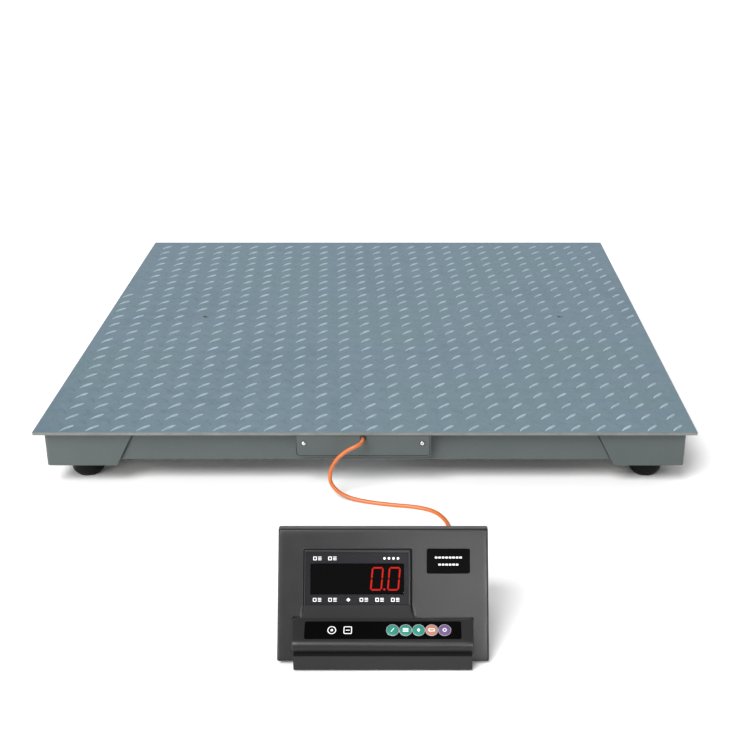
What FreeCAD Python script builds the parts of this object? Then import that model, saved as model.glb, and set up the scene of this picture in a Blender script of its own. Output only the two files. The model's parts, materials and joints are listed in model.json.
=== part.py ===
"""Pallet scale: a low steel platform on four load cells, with a desk-top weight indicator on a cable.

Frame: +Z up, the floor at Z = 0, the front (indicator side) faces -Y, millimetres.
The platform is drawn about the middle of its deck, the indicator about the foot of its front wall.
"""
import FreeCAD, Part
import math
import os
import Sketcher

VECTOR = FreeCAD.Vector
X_AXIS = VECTOR(1, 0, 0)
Y_AXIS = VECTOR(0, 1, 0)
Z_AXIS = VECTOR(0, 0, 1)

# Driving dimensions, in millimetres and degrees. Each becomes one cell of the spreadsheet.
DIMENSIONS = {
    # where the two halves stand
    "platform_y": 230.5,
    "indicator_x": 33.8,
    "indicator_y": -718,
    # deck
    "deck_side": 1000,
    "deck_thick": 5,
    "deck_top": 96,
    "deck_corner": 2,
    "lift_x": 333,
    "lift_shift": 19.5,
    "lift_y": 11,
    "lift_bore": 5.1,
    "lift_nut_flats": 19,
    "lift_nut_high": 18,
    # folded side channels
    "channel_face": 482,
    "channel_web": 4,
    "channel_flange": 22,
    "channel_high": 50,
    "channel_long": 800,
    "fold_round": 4,
    "slot_wide": 2,
    "slot_deep": 2.5,
    "window_wide": 140,
    # corner guards
    "guard_face": 487,
    "guard_thick": 4,
    "guard_low": 34,
    "guard_top_end": 350.5,
    "guard_low_end": 380,
    "guard_round": 6,
    # ribs under the deck
    "rib_wide": 40,
    "rib_high": 42,
    "rib_wall": 3,
    "rib_end": 410,
    "rib_short_end": 340,
    "rib_inner": 70,
    "rib_middle": 158,
    "rib_outer": 239,
    # load cells
    "cell_at": 437,
    "cell_long": 130,
    "cell_side": 32,
    "cell_low": 40,
    "cell_tip": 16,
    "gauge_radius": 10,
    "gauge_deep": 9,
    "mount_first": 76,
    "mount_second": 101,
    "pad_long": 62,
    "mount_radius": 6,
    "head_radius": 9,
    "head_high": 7.5,
    # levelling feet
    "cup_base": 17.5,
    "cup_radius": 25,
    "cup_high": 25,
    "cup_shoulder": 15,
    "cup_lip": 3,
    "ball_radius": 8,
    "ball_up": 14,
    "ball_gap": 0.1,
    "neck_radius": 4.5,
    "mouth_radius": 7,
    "stud_radius": 6,
    "stud_gap": 0.05,
    "stud_low": 27,
    "stud_top": 85,
    "lock_flats": 18,
    "lock_high": 7,
    # junction box
    "cover_x": -3,
    "box_wide": 130,
    "box_front": -450,
    "box_deep": 80,
    "box_low": 60,
    "box_wall": 2.5,
    "lid_thick": 3,
    "gland_radius": 8,
    "gland_long": 12,
    "gland_z": 75,
    "entry_front": -436,
    "entry_rear": -396,
    "lead_radius": 2.5,
    # front cover and its cable exit
    "cover_wide": 205,
    "cover_low": 55,
    "cover_deep": 16,
    "cover_wall": 3,
    "cover_round": 7,
    "seam_in": 1.2,
    "seam_wide": 1,
    "seam_deep": 1.8,
    "screw_reach": 89.5,
    "screw_z": 77,
    "screw_radius": 3,
    "screw_head": 5.5,
    "boss_radius": 6,
    "exit_z": 86,
    "grommet_radius": 4.2,
    "grommet_flange": 4.9,
    "grommet_proud": 4,
    "cable_radius": 3,
    "bore_gap": 0.05,
    # indicator housing, seen from the side
    "house_wide": 253.4,
    "house_deep": 142,
    "house_low": 4.5,
    "house_round": 3,
    "base_thick": 3,
    "post_x": 112,
    "post_front": 34,
    "post_back": 120,
    "post_radius": 4,
    "pilot_radius": 1.7,
    "wall": 3,
    "panel_foot": 6.6,
    "panel_tilt": 61,
    "panel_long": 151.1,
    "ridge_high": 142.7,
    "ridge_wide": 9,
    "back_high": 72,
    "part_line": 22.2,
    "part_gap": 0.6,
    # tray with the keypad
    "tray_wide": 215.4,
    "tray_foot_wide": 212,
    "tray_front": 12.5,
    "tray_low": 2.7,
    "keypad_tilt": 26.5,
    "keypad_back_y": 24.3,
    "keypad_back_z": 50.5,
    "keypad_long": 40.5,
    "nose_round": 8,
    "undercut_y": -6.2,
    # raised display pad
    "pad_x": -30.8,
    "tongue_wide": 132,
    "tongue_high": 6,
    "tongue_foot": 50.2,
    "tongue_ramp": 66,
    "tongue_top": 132,
    "tongue_end": 134.5,
    "film_wide": 123.4,
    "film_low": 66.6,
    "film_high": 128.5,
    "film_thick": 0.8,
    "film_sunk": 1.4,
    "view_wide": 112.4,
    "view_low": 78.4,
    "view_high": 115.3,
    "view_thick": 3,
    "view_gap": 0.3,
    "digit_pitch": 21.1,
    "digit_deep": 8,
    # label
    "label_x": 78.5,
    "label_wide": 52.2,
    "label_low": 103,
    "label_high": 132.8,
    "label_sunk": 0.5,
    # keys
    "overlay_wide": 186.8,
    "overlay_front": -28,
    "overlay_back": -4.5,
    "key_y": -16.3,
    "key_first": 11.5,
    "key_pitch": 15.5,
    "key_radius": 7,
    "key_gap": 0.2,
    "key_rise": 1,
    "key_skirt": 3,
    # rear wall fittings
    "rear_z": 34,
    "socket_x": 78.2,
    "socket_z": 42,
    "socket_radius": 9,
    "socket_flange": 3,
    "plug_radius": 8,
    "plug_long": 20,
    "boot_long": 16,
    "serial_x": 31.2,
    "switch_x": -38.8,
    "inlet_x": -83.8,
    "rocker_radius": 9,
    "rocker_wide": 11,
    "rocker_gap": 0.3,
    "rocker_set": 10,
    "foot_radius": 7,
    "foot_x": 100,
    "foot_front": 18,
    "foot_back": 126,
}

# The signal cable's route from the grommet to the plug, world coordinates, chosen by hand.
SIGNAL_ROUTE = [
    (-3, -271.5, 86),
    (-3, -284.5, 86),
    (-12, -293.5, 84.8),
    (-27, -294.5, 77.5),
    (-41.5, -294.5, 64.5),
    (-51.5, -295, 46.5),
    (-53, -297, 28),
    (-42, -301.5, 13.5),
    (-22, -307.5, 5),
    (6, -316, 3),
    (40, -324.5, 3),
    (74, -329.5, 3),
    (103, -342, 3),
    (119, -368, 3),
    (126, -400, 3),
    (126.5, -434, 3),
    (123, -466, 6),
    (118, -490, 20),
    (114.5, -507.5, 35),
    (112, -522.5, 42),
    (112, -537, 42),
]

KEY_NAMES = ("key_1", "key_2", "key_3", "key_4", "key_5")
CORNERS = {
    "front_left": (-1, -1),
    "front_right": (1, -1),
    "rear_right": (1, 1),
    "rear_left": (-1, 1),
}


class Size:
    """A number together with the expression that ties it to the spreadsheet."""

    def __init__(self, value, text):
        self.value = value
        self.text = text

    def __add__(self, other):
        other = as_size(other)
        return Size(self.value + other.value, f"({self.text} + {other.text})")

    def __radd__(self, other):
        return as_size(other) + self

    def __sub__(self, other):
        other = as_size(other)
        return Size(self.value - other.value, f"({self.text} - {other.text})")

    def __rsub__(self, other):
        return as_size(other) - self

    def __mul__(self, other):
        other = as_size(other)
        return Size(self.value * other.value, f"({self.text} * {other.text})")

    def __rmul__(self, other):
        return as_size(other) * self

    def __truediv__(self, other):
        other = as_size(other)
        return Size(self.value / other.value, f"({self.text} / {other.text})")

    def __neg__(self):
        return Size(-self.value, f"(0 - {self.text})")


def as_size(number):
    return number if isinstance(number, Size) else Size(number, repr(number))


doc = FreeCAD.newDocument("pallet_scale")
sheet = doc.addObject("Spreadsheet::Sheet", "Sizes")


class Dimensions:
    """Every driving dimension as an attribute, such as dim.deck_side."""


dim = Dimensions()
for row, (alias, number) in enumerate(DIMENSIONS.items(), start=1):
    sheet.set(f"A{row}", alias)
    sheet.set(f"B{row}", str(number))
    sheet.setAlias(f"B{row}", alias)
    setattr(dim, alias, Size(number, f"Sizes.{alias}"))
doc.recompute()

subparts = []


def keep(shape, label):
    """Make an object one of the kept sub-parts, under its own label."""
    shape.Label = label
    subparts.append(shape)
    return shape


def bind(item, prop, size):
    item.setExpression(prop, as_size(size).text)


def place(item, x=0, y=0, z=0, axis=Z_AXIS, angle=0):
    """Turn an object about an axis through its own origin and move that origin to x, y, z."""
    spot = [as_size(number) for number in (x, y, z)]
    turn = as_size(angle)
    item.Placement = FreeCAD.Placement(
        VECTOR(*[number.value for number in spot]),
        FreeCAD.Rotation(axis, turn.value),
    )
    for letter, number in zip("xyz", spot):
        bind(item, f"Placement.Base.{letter}", number)
    if isinstance(angle, Size):
        bind(item, "Placement.Rotation.Angle", turn)
    return item


# ---- places that sub-parts are drawn in -----------------------------------------------------

def on_platform(item):
    """Drawn about the middle of the deck."""
    return place(item, 0, dim.platform_y, 0)


def in_indicator(item):
    """Drawn about the foot of the indicator's front wall."""
    return place(item, dim.indicator_x, dim.indicator_y, 0)


def on_panel(item, x=0, y=0):
    """Drawn on the sloping panel: Y up the slope, Z out of it."""
    return place(item, x, y, dim.panel_foot, X_AXIS, dim.panel_tilt)


def on_keypad(item, x=0, y=0):
    """Drawn on the keypad's plane about its back edge: Y up the slope, Z out of it."""
    return place(item, x, y + dim.keypad_back_y, dim.keypad_back_z, X_AXIS, dim.keypad_tilt)


# ---- building blocks ------------------------------------------------------------------------

def block(low, high):
    """A box from its lowest to its highest corner."""
    item = doc.addObject("Part::Box", "Block")
    for prop, start, end in zip(("Length", "Width", "Height"), low, high):
        bind(item, prop, as_size(end) - start)
    return place(item, *low)


def slab(low, high):
    """A box that is a sub-part in itself, so that it keeps a placement of its own."""
    return group(block(low, high))


def rod(radius, length, at, direction="z"):
    """A cylinder that starts at a point and runs along +X, +Y or +Z."""
    item = doc.addObject("Part::Cylinder", "Rod")
    bind(item, "Radius", radius)
    bind(item, "Height", length)
    axis, angle = {"x": (Y_AXIS, 90), "y": (X_AXIS, -90), "z": (Z_AXIS, 0)}[direction]
    return place(item, *at, axis=axis, angle=angle)


def cone(radius_low, radius_high, length, at, direction="z"):
    item = doc.addObject("Part::Cone", "Taper")
    bind(item, "Radius1", radius_low)
    bind(item, "Radius2", radius_high)
    bind(item, "Height", length)
    axis, angle = {"y": (X_AXIS, -90), "z": (Z_AXIS, 0)}[direction]
    return place(item, *at, axis=axis, angle=angle)


def ball(radius, at):
    item = doc.addObject("Part::Sphere", "Ball")
    bind(item, "Radius", radius)
    return place(item, *at)


def hexagon(flats, length, at, direction="z"):
    """A six-sided prism, its size given across the flats."""
    item = doc.addObject("Part::Prism", "Hexagon")
    item.Polygon = 6
    bind(item, "Circumradius", as_size(flats) / math.sqrt(3))
    bind(item, "Height", length)
    axis, angle = {"y": (X_AXIS, -90), "z": (Z_AXIS, 0)}[direction]
    return place(item, *at, axis=axis, angle=angle)


def join(*items):
    item = doc.addObject("Part::MultiFuse", "Joined")
    item.Shapes = list(items)
    item.Refine = True
    return item


def subtract(base, *tools):
    item = doc.addObject("Part::Cut", "Subtracted")
    item.Base = base
    item.Tool = tools[0] if len(tools) == 1 else group(*tools)
    item.Refine = True
    return item


def overlap(first, second):
    item = doc.addObject("Part::Common", "Overlap")
    item.Base = first
    item.Tool = second
    return item


def group(*items):
    """Separate solids kept together as one object."""
    item = doc.addObject("Part::Compound", "Group")
    item.Links = list(items)
    return item


def outline(body, role, corners, offset=0):
    """A closed sketch on one of the body's own planes, each corner held by the sheet."""
    sketch = body.newObject("Sketcher::SketchObject", "Outline")
    plane = [item for item in body.Origin.OriginFeatures if item.Role == role][0]
    sketch.AttachmentSupport = [(plane, "")]
    sketch.MapMode = "FlatFace"
    distance = as_size(offset)
    sketch.AttachmentOffset = FreeCAD.Placement(VECTOR(0, 0, distance.value), FreeCAD.Rotation())
    bind(sketch, "AttachmentOffset.Base.z", distance)
    corners = [(as_size(across), as_size(up)) for across, up in corners]
    count = len(corners)
    for number, (across, up) in enumerate(corners):
        next_across, next_up = corners[(number + 1) % count]
        start = VECTOR(across.value, up.value, 0)
        end = VECTOR(next_across.value, next_up.value, 0)
        sketch.addGeometry(Part.LineSegment(start, end), False)
    for number in range(count):
        follower = (number + 1) % count
        sketch.addConstraint(Sketcher.Constraint("Coincident", number, 2, follower, 1))
    for number, (across, up) in enumerate(corners):
        for kind, size in (("DistanceX", across), ("DistanceY", up)):
            index = sketch.addConstraint(Sketcher.Constraint(kind, -1, 1, number, 1, size.value))
            bind(sketch, f"Constraints[{index}]", size)
    return sketch


def pad(body, sketch, length, symmetric=False):
    feature = body.newObject("PartDesign::Pad", "Pad")
    feature.Profile = sketch
    bind(feature, "Length", length)
    if symmetric:
        feature.SideType = "Symmetric"
    return feature


def profile_bar(corners, length):
    """A bar with a constant section in Y and Z, centred on X = 0."""
    body = doc.addObject("PartDesign::Body", "Bar")
    pad(body, outline(body, "YZ_Plane", corners), length, symmetric=True)
    return body


def turned(corners):
    """A solid turned about the Z axis from a half section of radius and height."""
    body = doc.addObject("PartDesign::Body", "Turned")
    sketch = outline(body, "XZ_Plane", corners)
    feature = body.newObject("PartDesign::Revolution", "Turn")
    feature.Profile = sketch
    feature.ReferenceAxis = (sketch, ["V_Axis"])
    feature.Angle = 360
    return body


def edge_rounds(item, radius, chosen):
    """Round the edges of an object that a test picks out."""
    doc.recompute()
    feature = doc.addObject("Part::Fillet", "Rounded")
    feature.Base = item
    feature.Edges = [
        (number, radius.value, radius.value)
        for number, edge in enumerate(item.Shape.Edges, start=1)
        if chosen(edge)
    ]
    return feature


def is_upright(edge):
    is_line = edge.Curve.TypeId == "Part::GeomLine"
    return is_line and abs(edge.tangentAt(edge.FirstParameter).z) > 0.999


def bent_path(points):
    """Straight runs joined by tangent arcs, each as large as its two runs allow."""
    corners = [VECTOR(*point) for point in points]
    edges = []
    radii = []
    start = corners[0]
    for before, corner, after in zip(corners, corners[1:], corners[2:]):
        arriving = (corner - before).normalize()
        leaving = (after - corner).normalize()
        half_turn = arriving.getAngle(leaving) / 2
        reach = 0.45 * min((corner - before).Length, (after - corner).Length)
        radius = reach / math.tan(half_turn)
        arc_start = corner - arriving * reach
        arc_end = corner + leaving * reach
        inward = (leaving - arriving).normalize()
        middle = corner + inward * (radius / math.cos(half_turn) - radius)
        edges.append(Part.LineSegment(start, arc_start).toShape())
        edges.append(Part.Arc(arc_start, middle, arc_end).toShape())
        radii.append(radius)
        start = arc_end
    edges.append(Part.LineSegment(start, corners[-1]).toShape())
    return Part.Wire(edges), radii


def tube(points, radius, name="Tube"):
    """A round lead swept along a bent path."""
    path, radii = bent_path(points)
    first_run = VECTOR(*points[1]) - VECTOR(*points[0])
    section = Part.Wire([Part.makeCircle(radius.value, VECTOR(*points[0]), first_run)])
    item = doc.addObject("Part::Feature", name)
    item.Shape = path.makePipeShell([section], True, False)
    expected = math.pi * radius.value ** 2 * path.Length
    print(
        f"{name}: length {path.Length:.1f}, smallest radius {min(radii):.1f}, "
        f"volume {item.Shape.Volume:.0f} of {expected:.0f}"
    )
    return item, radii


def at_points(points, make):
    """One separate solid at each point."""
    return group(*[make(*point) for point in points])


# ---- platform -------------------------------------------------------------------------------

deck_under = dim.deck_top - dim.deck_thick
channel_low = deck_under - dim.channel_high
cell_top = dim.cell_low + dim.cell_side
cover_face = dim.channel_face + dim.cover_deep


def make_deck():
    """The deck, with a nut welded under each lifting hole: one thread runs through both."""
    half = dim.deck_side / 2
    plate = block((-half, -half, deck_under), (half, half, dim.deck_top))
    plate = edge_rounds(plate, dim.deck_corner, is_upright)
    holes = []
    nuts = []
    for side in (-1, 1):
        x = dim.lift_shift + side * dim.lift_x
        holes.append(rod(dim.lift_bore, dim.deck_thick + 2, (x, dim.lift_y, deck_under - 1)))
        low = deck_under - dim.lift_nut_high
        nut = hexagon(dim.lift_nut_flats, dim.lift_nut_high, (x, dim.lift_y, low))
        bore = rod(dim.lift_bore, dim.lift_nut_high + 2, (x, dim.lift_y, low - 1))
        nuts.append(subtract(nut, bore))
    keep(on_platform(subtract(plate, *holes)), "deck_plate")
    keep(on_platform(group(*nuts)), "lifting_nuts")


def channel_section():
    """A folded channel, its web slotted beside the slanting edges of the corner guards."""
    outer = -dim.channel_face
    lip = outer + dim.channel_flange
    web = outer + dim.channel_web
    bar = profile_bar(
        [
            (outer, channel_low),
            (lip, channel_low),
            (lip, channel_low + dim.channel_web),
            (web, channel_low + dim.channel_web),
            (web, deck_under - dim.channel_web),
            (lip, deck_under - dim.channel_web),
            (lip, deck_under),
            (outer, deck_under),
        ],
        dim.channel_long,
    )

    def outer_fold(edge):
        is_long = abs(edge.tangentAt(edge.FirstParameter).x) > 0.999
        return is_long and edge.CenterOfMass.y < outer.value + 0.5

    slots = []
    for side in (-1, 1):
        slot = profile_bar(
            [
                (side * dim.guard_top_end, deck_under),
                (side * (dim.guard_top_end - dim.slot_wide), deck_under),
                (side * (dim.guard_low_end - dim.slot_wide), dim.guard_low),
                (side * dim.guard_low_end, dim.guard_low),
            ],
            dim.slot_deep + 1,
        )
        slots.append(place(slot, 0, outer + (dim.slot_deep - 1) / 2, 0, Z_AXIS, 90))
    return subtract(edge_rounds(bar, dim.fold_round, outer_fold), *slots)


def make_channels():
    """Four folded channels. The front one has a window to the junction box and two screw bosses."""
    half_window = dim.window_wide / 2
    web_back = dim.channel_web - dim.channel_face
    window = block(
        (dim.cover_x - half_window, -dim.channel_face - 1, channel_low + 2 * dim.channel_web),
        (dim.cover_x + half_window, web_back + 1, deck_under - dim.channel_web),
    )
    bosses = []
    bores = []
    for side in (-1, 1):
        x = dim.cover_x + side * dim.screw_reach
        start = dim.cover_wall - cover_face
        length = dim.cover_deep - dim.cover_wall
        bosses.append(rod(dim.boss_radius, length, (x, start, dim.screw_z), "y"))
        bores.append(rod(dim.screw_radius, length + 6, (x, start - 1, dim.screw_z), "y"))
    front = subtract(join(subtract(channel_section(), window), *bosses), *bores)
    keep(on_platform(front), "side_channel_front")
    for name, angle in (("right", 90), ("rear", 180), ("left", 270)):
        channel = place(channel_section(), 0, dim.platform_y, 0, Z_AXIS, angle)
        keep(channel, f"side_channel_{name}")


def make_corner_guard(name, angle):
    """Two tapering plates folded round a corner, lower than the channels between them."""
    body = doc.addObject("PartDesign::Body", "Guard")
    face = dim.guard_face
    inner = face - dim.guard_thick
    front = [
        (-face, dim.guard_low),
        (-dim.guard_low_end, dim.guard_low),
        (-dim.guard_top_end, deck_under),
        (-face, deck_under),
    ]
    pad(body, outline(body, "XZ_Plane", front, inner), dim.guard_thick)
    pad(body, outline(body, "YZ_Plane", front, -face), dim.guard_thick)
    doc.recompute()
    plates = body.Tip
    corner_edges = [
        f"Edge{number}"
        for number, edge in enumerate(plates.Shape.Edges, start=1)
        if is_upright(edge) and max(edge.CenterOfMass.x, edge.CenterOfMass.y) < 1 - face.value
    ]
    rounding = body.newObject("PartDesign::Fillet", "CornerRound")
    rounding.Base = (plates, corner_edges)
    bind(rounding, "Radius", dim.guard_round)
    keep(place(body, 0, dim.platform_y, 0, Z_AXIS, angle), f"corner_guard_{name}")


def make_ribs():
    """Inverted folded troughs welded under the deck, running front to back."""
    half = dim.rib_wide / 2
    ribs = []
    for offset in (dim.rib_inner, dim.rib_middle, dim.rib_outer):
        front = -dim.rib_short_end if offset is dim.rib_inner else -dim.rib_end
        for side in (-1, 1):
            x = side * offset
            shell = block(
                (x - half, front, deck_under - dim.rib_high), (x + half, dim.rib_end, deck_under)
            )
            trough = block(
                (x - half + dim.rib_wall, front - 1, deck_under - dim.rib_high + dim.rib_wall),
                (x + half - dim.rib_wall, dim.rib_end + 1, deck_under + 1),
            )
            ribs.append(subtract(shell, trough))
    keep(on_platform(group(*ribs)), "deck_ribs")


def make_load_cell(name, side_x, side_y):
    """A shear-beam cell: bolted at its inner end, carried on the foot's stud at its outer end."""
    middle = dim.cell_low + dim.cell_side / 2
    half = dim.cell_side / 2
    beam = block((-dim.cell_tip, -half, dim.cell_low), (dim.cell_long - dim.cell_tip, half, cell_top))
    stud_bore = rod(dim.stud_radius + dim.stud_gap, dim.cell_side + 2, (0, 0, dim.cell_low - 1))
    cuts = [stud_bore]
    for along in (dim.mount_first, dim.mount_second):
        bore = rod(dim.mount_radius + dim.stud_gap, dim.cell_side + 2, (along, 0, dim.cell_low - 1))
        cuts.append(bore)
    gauge_x = (dim.stud_radius + dim.mount_first) / 2
    cuts.append(rod(dim.gauge_radius, dim.gauge_deep, (gauge_x, -half, middle), "y"))
    cuts.append(rod(dim.gauge_radius, dim.gauge_deep, (gauge_x, half - dim.gauge_deep, middle), "y"))
    cell = subtract(beam, *cuts)
    turn = 0 if side_x < 0 else 180
    x = side_x * dim.cell_at
    y = dim.platform_y + side_y * dim.cell_at
    keep(place(cell, x, y, 0, Z_AXIS, turn), f"load_cell_{name}")


def make_cell_fixings():
    """Tapped pads welded under the deck, and the two bolts that hold each cell up against its pad."""
    pads = []
    bolts = []
    nuts = []
    spare = (dim.pad_long - (dim.mount_second - dim.mount_first)) / 2
    for side_x, side_y in CORNERS.values():
        y = side_y * dim.cell_at
        half = dim.cell_side / 2
        near = side_x * (dim.cell_at - dim.mount_first + spare)
        far = side_x * (dim.cell_at - dim.mount_second - spare)
        low_x, high_x = (near, far) if side_x < 0 else (far, near)
        slab = block((low_x, y - half, cell_top), (high_x, y + half, deck_under))
        holes = []
        for along in (dim.mount_first, dim.mount_second):
            x = side_x * (dim.cell_at - along)
            holes.append(rod(dim.mount_radius, deck_under - cell_top - 1, (x, y, cell_top - 1)))
            shank = rod(dim.mount_radius, deck_under - dim.cell_low - 4, (x, y, dim.cell_low))
            head_low = dim.cell_low - dim.head_high
            head = subtract(
                rod(dim.head_radius, dim.head_high, (x, y, head_low)),
                hexagon(dim.mount_radius * 1.6, dim.head_high / 2, (x, y, head_low)),
            )
            bolts.append(join(shank, head))
        pads.append(subtract(slab, *holes))
        stud_x = side_x * dim.cell_at
        nut_low = dim.cell_low - dim.lock_high
        nut = hexagon(dim.lock_flats, dim.lock_high, (stud_x, y, nut_low))
        bore = rod(dim.stud_radius + dim.stud_gap, dim.lock_high + 2, (stud_x, y, nut_low - 1))
        nuts.append(subtract(nut, bore))
    keep(on_platform(group(*pads)), "load_cell_pads")
    keep(on_platform(group(*bolts)), "load_cell_bolts")
    keep(on_platform(group(*nuts)), "foot_locknuts")


def make_foot(name, side_x, side_y):
    """A rubber-faced cup with a ball socket, and the ball stud that screws through the cell."""
    x = side_x * dim.cell_at
    y = dim.platform_y + side_y * dim.cell_at
    bowl = turned(
        [
            (0, 0),
            (dim.cup_base, 0),
            (dim.cup_base + 4, dim.cup_shoulder / 4),
            (dim.cup_radius - 1, dim.cup_shoulder * 3 / 4),
            (dim.cup_radius, dim.cup_shoulder + 3),
            (dim.cup_radius, dim.cup_high - dim.cup_lip),
            (dim.cup_radius - dim.cup_lip, dim.cup_high),
            (0, dim.cup_high),
        ]
    )
    socket = ball(dim.ball_radius + dim.ball_gap, (0, 0, dim.ball_up))
    mouth = rod(dim.mouth_radius, dim.cup_high, (0, 0, dim.ball_up + 1))
    keep(place(subtract(bowl, socket, mouth), x, y, 0), f"foot_cup_{name}")
    stud = join(
        ball(dim.ball_radius, (0, 0, dim.ball_up)),
        rod(dim.neck_radius, dim.stud_low - dim.ball_up, (0, 0, dim.ball_up)),
        rod(dim.stud_radius, dim.stud_top - dim.stud_low, (0, 0, dim.stud_low)),
    )
    keep(place(stud, x, y, 0), f"foot_stud_{name}")


def make_junction_box():
    """The box under the deck where the cell leads meet the signal cable, with a gland on each."""
    half = dim.box_wide / 2
    left = dim.cover_x - half
    right = dim.cover_x + half
    back = dim.box_front + dim.box_deep
    wall = dim.box_wall
    shell = block((left, dim.box_front, dim.box_low), (right, back, deck_under))
    hollow = block(
        (left + wall, dim.box_front + wall, dim.box_low - 1),
        (right - wall, back - wall, deck_under - wall),
    )
    entry = dim.lead_radius + 2.5
    holes = [rod(entry, wall + 2, (dim.cover_x, dim.box_front - 1, dim.gland_z), "y")]
    glands = []
    shank = dim.gland_long
    nut = join(
        rod(dim.gland_radius, shank, (dim.cover_x, dim.box_front - shank, dim.gland_z), "y"),
        rod(entry, wall, (dim.cover_x, dim.box_front, dim.gland_z), "y"),
    )
    bore_start = dim.box_front - shank - 1
    bore = rod(dim.cable_radius, shank + wall + 2, (dim.cover_x, bore_start, dim.gland_z), "y")
    glands.append(subtract(nut, bore))
    for side in (-1, 1):
        for y in (dim.entry_front, dim.entry_rear):
            wall_x = left if side < 0 else right - wall
            nut_x = left - shank if side < 0 else right
            holes.append(rod(entry, wall + 2, (wall_x - 1, y, dim.gland_z), "x"))
            body = join(
                rod(dim.gland_radius, shank, (nut_x, y, dim.gland_z), "x"),
                rod(entry, wall, (wall_x, y, dim.gland_z), "x"),
            )
            start = left - shank - 1 if side < 0 else right - wall - 1
            lead_bore = rod(dim.lead_radius, shank + wall + 2, (start, y, dim.gland_z), "x")
            glands.append(subtract(body, lead_bore))
    keep(on_platform(subtract(shell, *holes, hollow)), "junction_box_base")
    lid = slab((left, dim.box_front, dim.box_low - dim.lid_thick), (right, back, dim.box_low))
    keep(on_platform(lid), "junction_box_lid")
    board = block(
        (left + 10, dim.box_front + 12, dim.gland_z + 6), (right - 10, back - 12, dim.gland_z + 7.6)
    )
    posts = [
        rod(2, deck_under - wall - dim.gland_z - 7.6, (x, y, dim.gland_z + 7.6))
        for x in (left + 14, right - 14)
        for y in (dim.box_front + 16, back - 16)
    ]
    keep(on_platform(join(board, *posts)), "junction_box_board")
    keep(on_platform(group(*glands)), "cable_glands")


def make_inner_leads():
    """The four cell leads and the inner end of the signal cable, clipped under the deck."""
    left = (dim.cover_x - dim.box_wide / 2).value
    right = (dim.cover_x + dim.box_wide / 2).value
    cell_end = (dim.cell_at - dim.cell_long + dim.cell_tip).value
    middle_z = (dim.cell_low + dim.cell_side / 2).value
    cell_y = dim.cell_at.value
    entry_z = dim.gland_z.value
    front_y = dim.entry_front.value
    rear_y = dim.entry_rear.value
    inside = 5
    leads = []
    for side, wall_x in ((-1, left), (1, right)):
        box_x = wall_x - side * inside
        front = [
            (side * cell_end, -cell_y, middle_z),
            (side * (cell_end - 40), -cell_y, middle_z),
            (side * (cell_end - 90), front_y - 2, entry_z - 4),
            (side * 150, front_y - 1, entry_z - 3),
            (wall_x + side * 40, front_y, entry_z),
            (box_x, front_y, entry_z),
        ]
        rear = [
            (side * cell_end, cell_y, middle_z),
            (side * 297, cell_y, middle_z),
            (side * 290, 412, middle_z + 2),
            (side * 293, 60, middle_z),
            (side * 290, -385, middle_z + 4),
            (side * 262, -423, entry_z - 8),
            (side * 150, -421, entry_z - 4),
            (wall_x + side * 42, rear_y, entry_z),
            (box_x, rear_y, entry_z),
        ]
        leads.append(tube(front, dim.lead_radius, "FrontLead")[0])
        leads.append(tube(rear, dim.lead_radius, "RearLead")[0])
    x = dim.cover_x.value
    front_face = dim.box_front.value
    exit_y = (-cover_face - dim.grommet_proud).value
    signal = [
        (x, front_face + inside, entry_z),
        (x, front_face - 22, entry_z),
        (x, front_face - 37, dim.exit_z.value),
        (x, exit_y, dim.exit_z.value),
    ]
    leads.append(tube(signal, dim.cable_radius, "SignalLead")[0])
    keep(on_platform(group(*leads)), "inner_leads")


def make_front_cover():
    """A shallow folded pan over the window, with the cable grommet near its top edge."""
    half = dim.cover_wide / 2
    left = dim.cover_x - half
    right = dim.cover_x + half
    wall = dim.cover_wall
    pan = block((left, -cover_face, dim.cover_low), (right, -dim.channel_face, deck_under))

    def lower_corner(edge):
        along = abs(edge.tangentAt(edge.FirstParameter).y) > 0.999
        return along and edge.CenterOfMass.z < dim.cover_low.value + 3

    def front_slab(inset):
        """A slab over the pan's front face, brought in from the pan's outline."""
        low = (left + inset, -cover_face - 1, dim.cover_low + inset)
        high = (right - inset, dim.seam_deep - cover_face, deck_under + 1)
        return edge_rounds(block(low, high), dim.cover_round - inset, lower_corner)

    pan = edge_rounds(pan, dim.cover_round, lower_corner)
    seam = subtract(front_slab(dim.seam_in), front_slab(dim.seam_in + dim.seam_wide))
    hollow = block(
        (left + wall, wall - cover_face, dim.cover_low + wall),
        (right - wall, 1 - dim.channel_face, deck_under + 1),
    )
    exit_at = (dim.cover_x, -cover_face - 1, dim.exit_z)
    cuts = [hollow, seam, rod(dim.grommet_radius, wall + 2, exit_at, "y")]
    screws = []
    for side in (-1, 1):
        x = dim.cover_x + side * dim.screw_reach
        cuts.append(rod(dim.screw_radius + 0.2, wall + 2, (x, -cover_face - 1, dim.screw_z), "y"))
        shank = rod(dim.screw_radius, dim.cover_deep + 2, (x, -cover_face, dim.screw_z), "y")
        dome = overlap(
            ball(dim.screw_head * 1.3, (x, dim.screw_head - cover_face, dim.screw_z)),
            rod(dim.screw_head, 4, (x, -cover_face - 4, dim.screw_z), "y"),
        )
        screws.append(join(shank, dome))
    keep(on_platform(subtract(pan, *cuts)), "front_cover")
    keep(on_platform(group(*screws)), "cover_screws")
    ring = join(
        cone(dim.grommet_flange - 0.9, dim.grommet_flange, dim.grommet_proud,
             (dim.cover_x, -cover_face - dim.grommet_proud, dim.exit_z), "y"),
        rod(dim.grommet_radius, wall, (dim.cover_x, -cover_face, dim.exit_z), "y"),
        rod(dim.grommet_flange, 1.2, (dim.cover_x, wall - cover_face, dim.exit_z), "y"),
    )
    bore = rod(dim.cable_radius + dim.bore_gap, 20, (dim.cover_x, -cover_face - 6, dim.exit_z), "y")
    keep(on_platform(subtract(ring, bore)), "cable_grommet")


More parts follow.
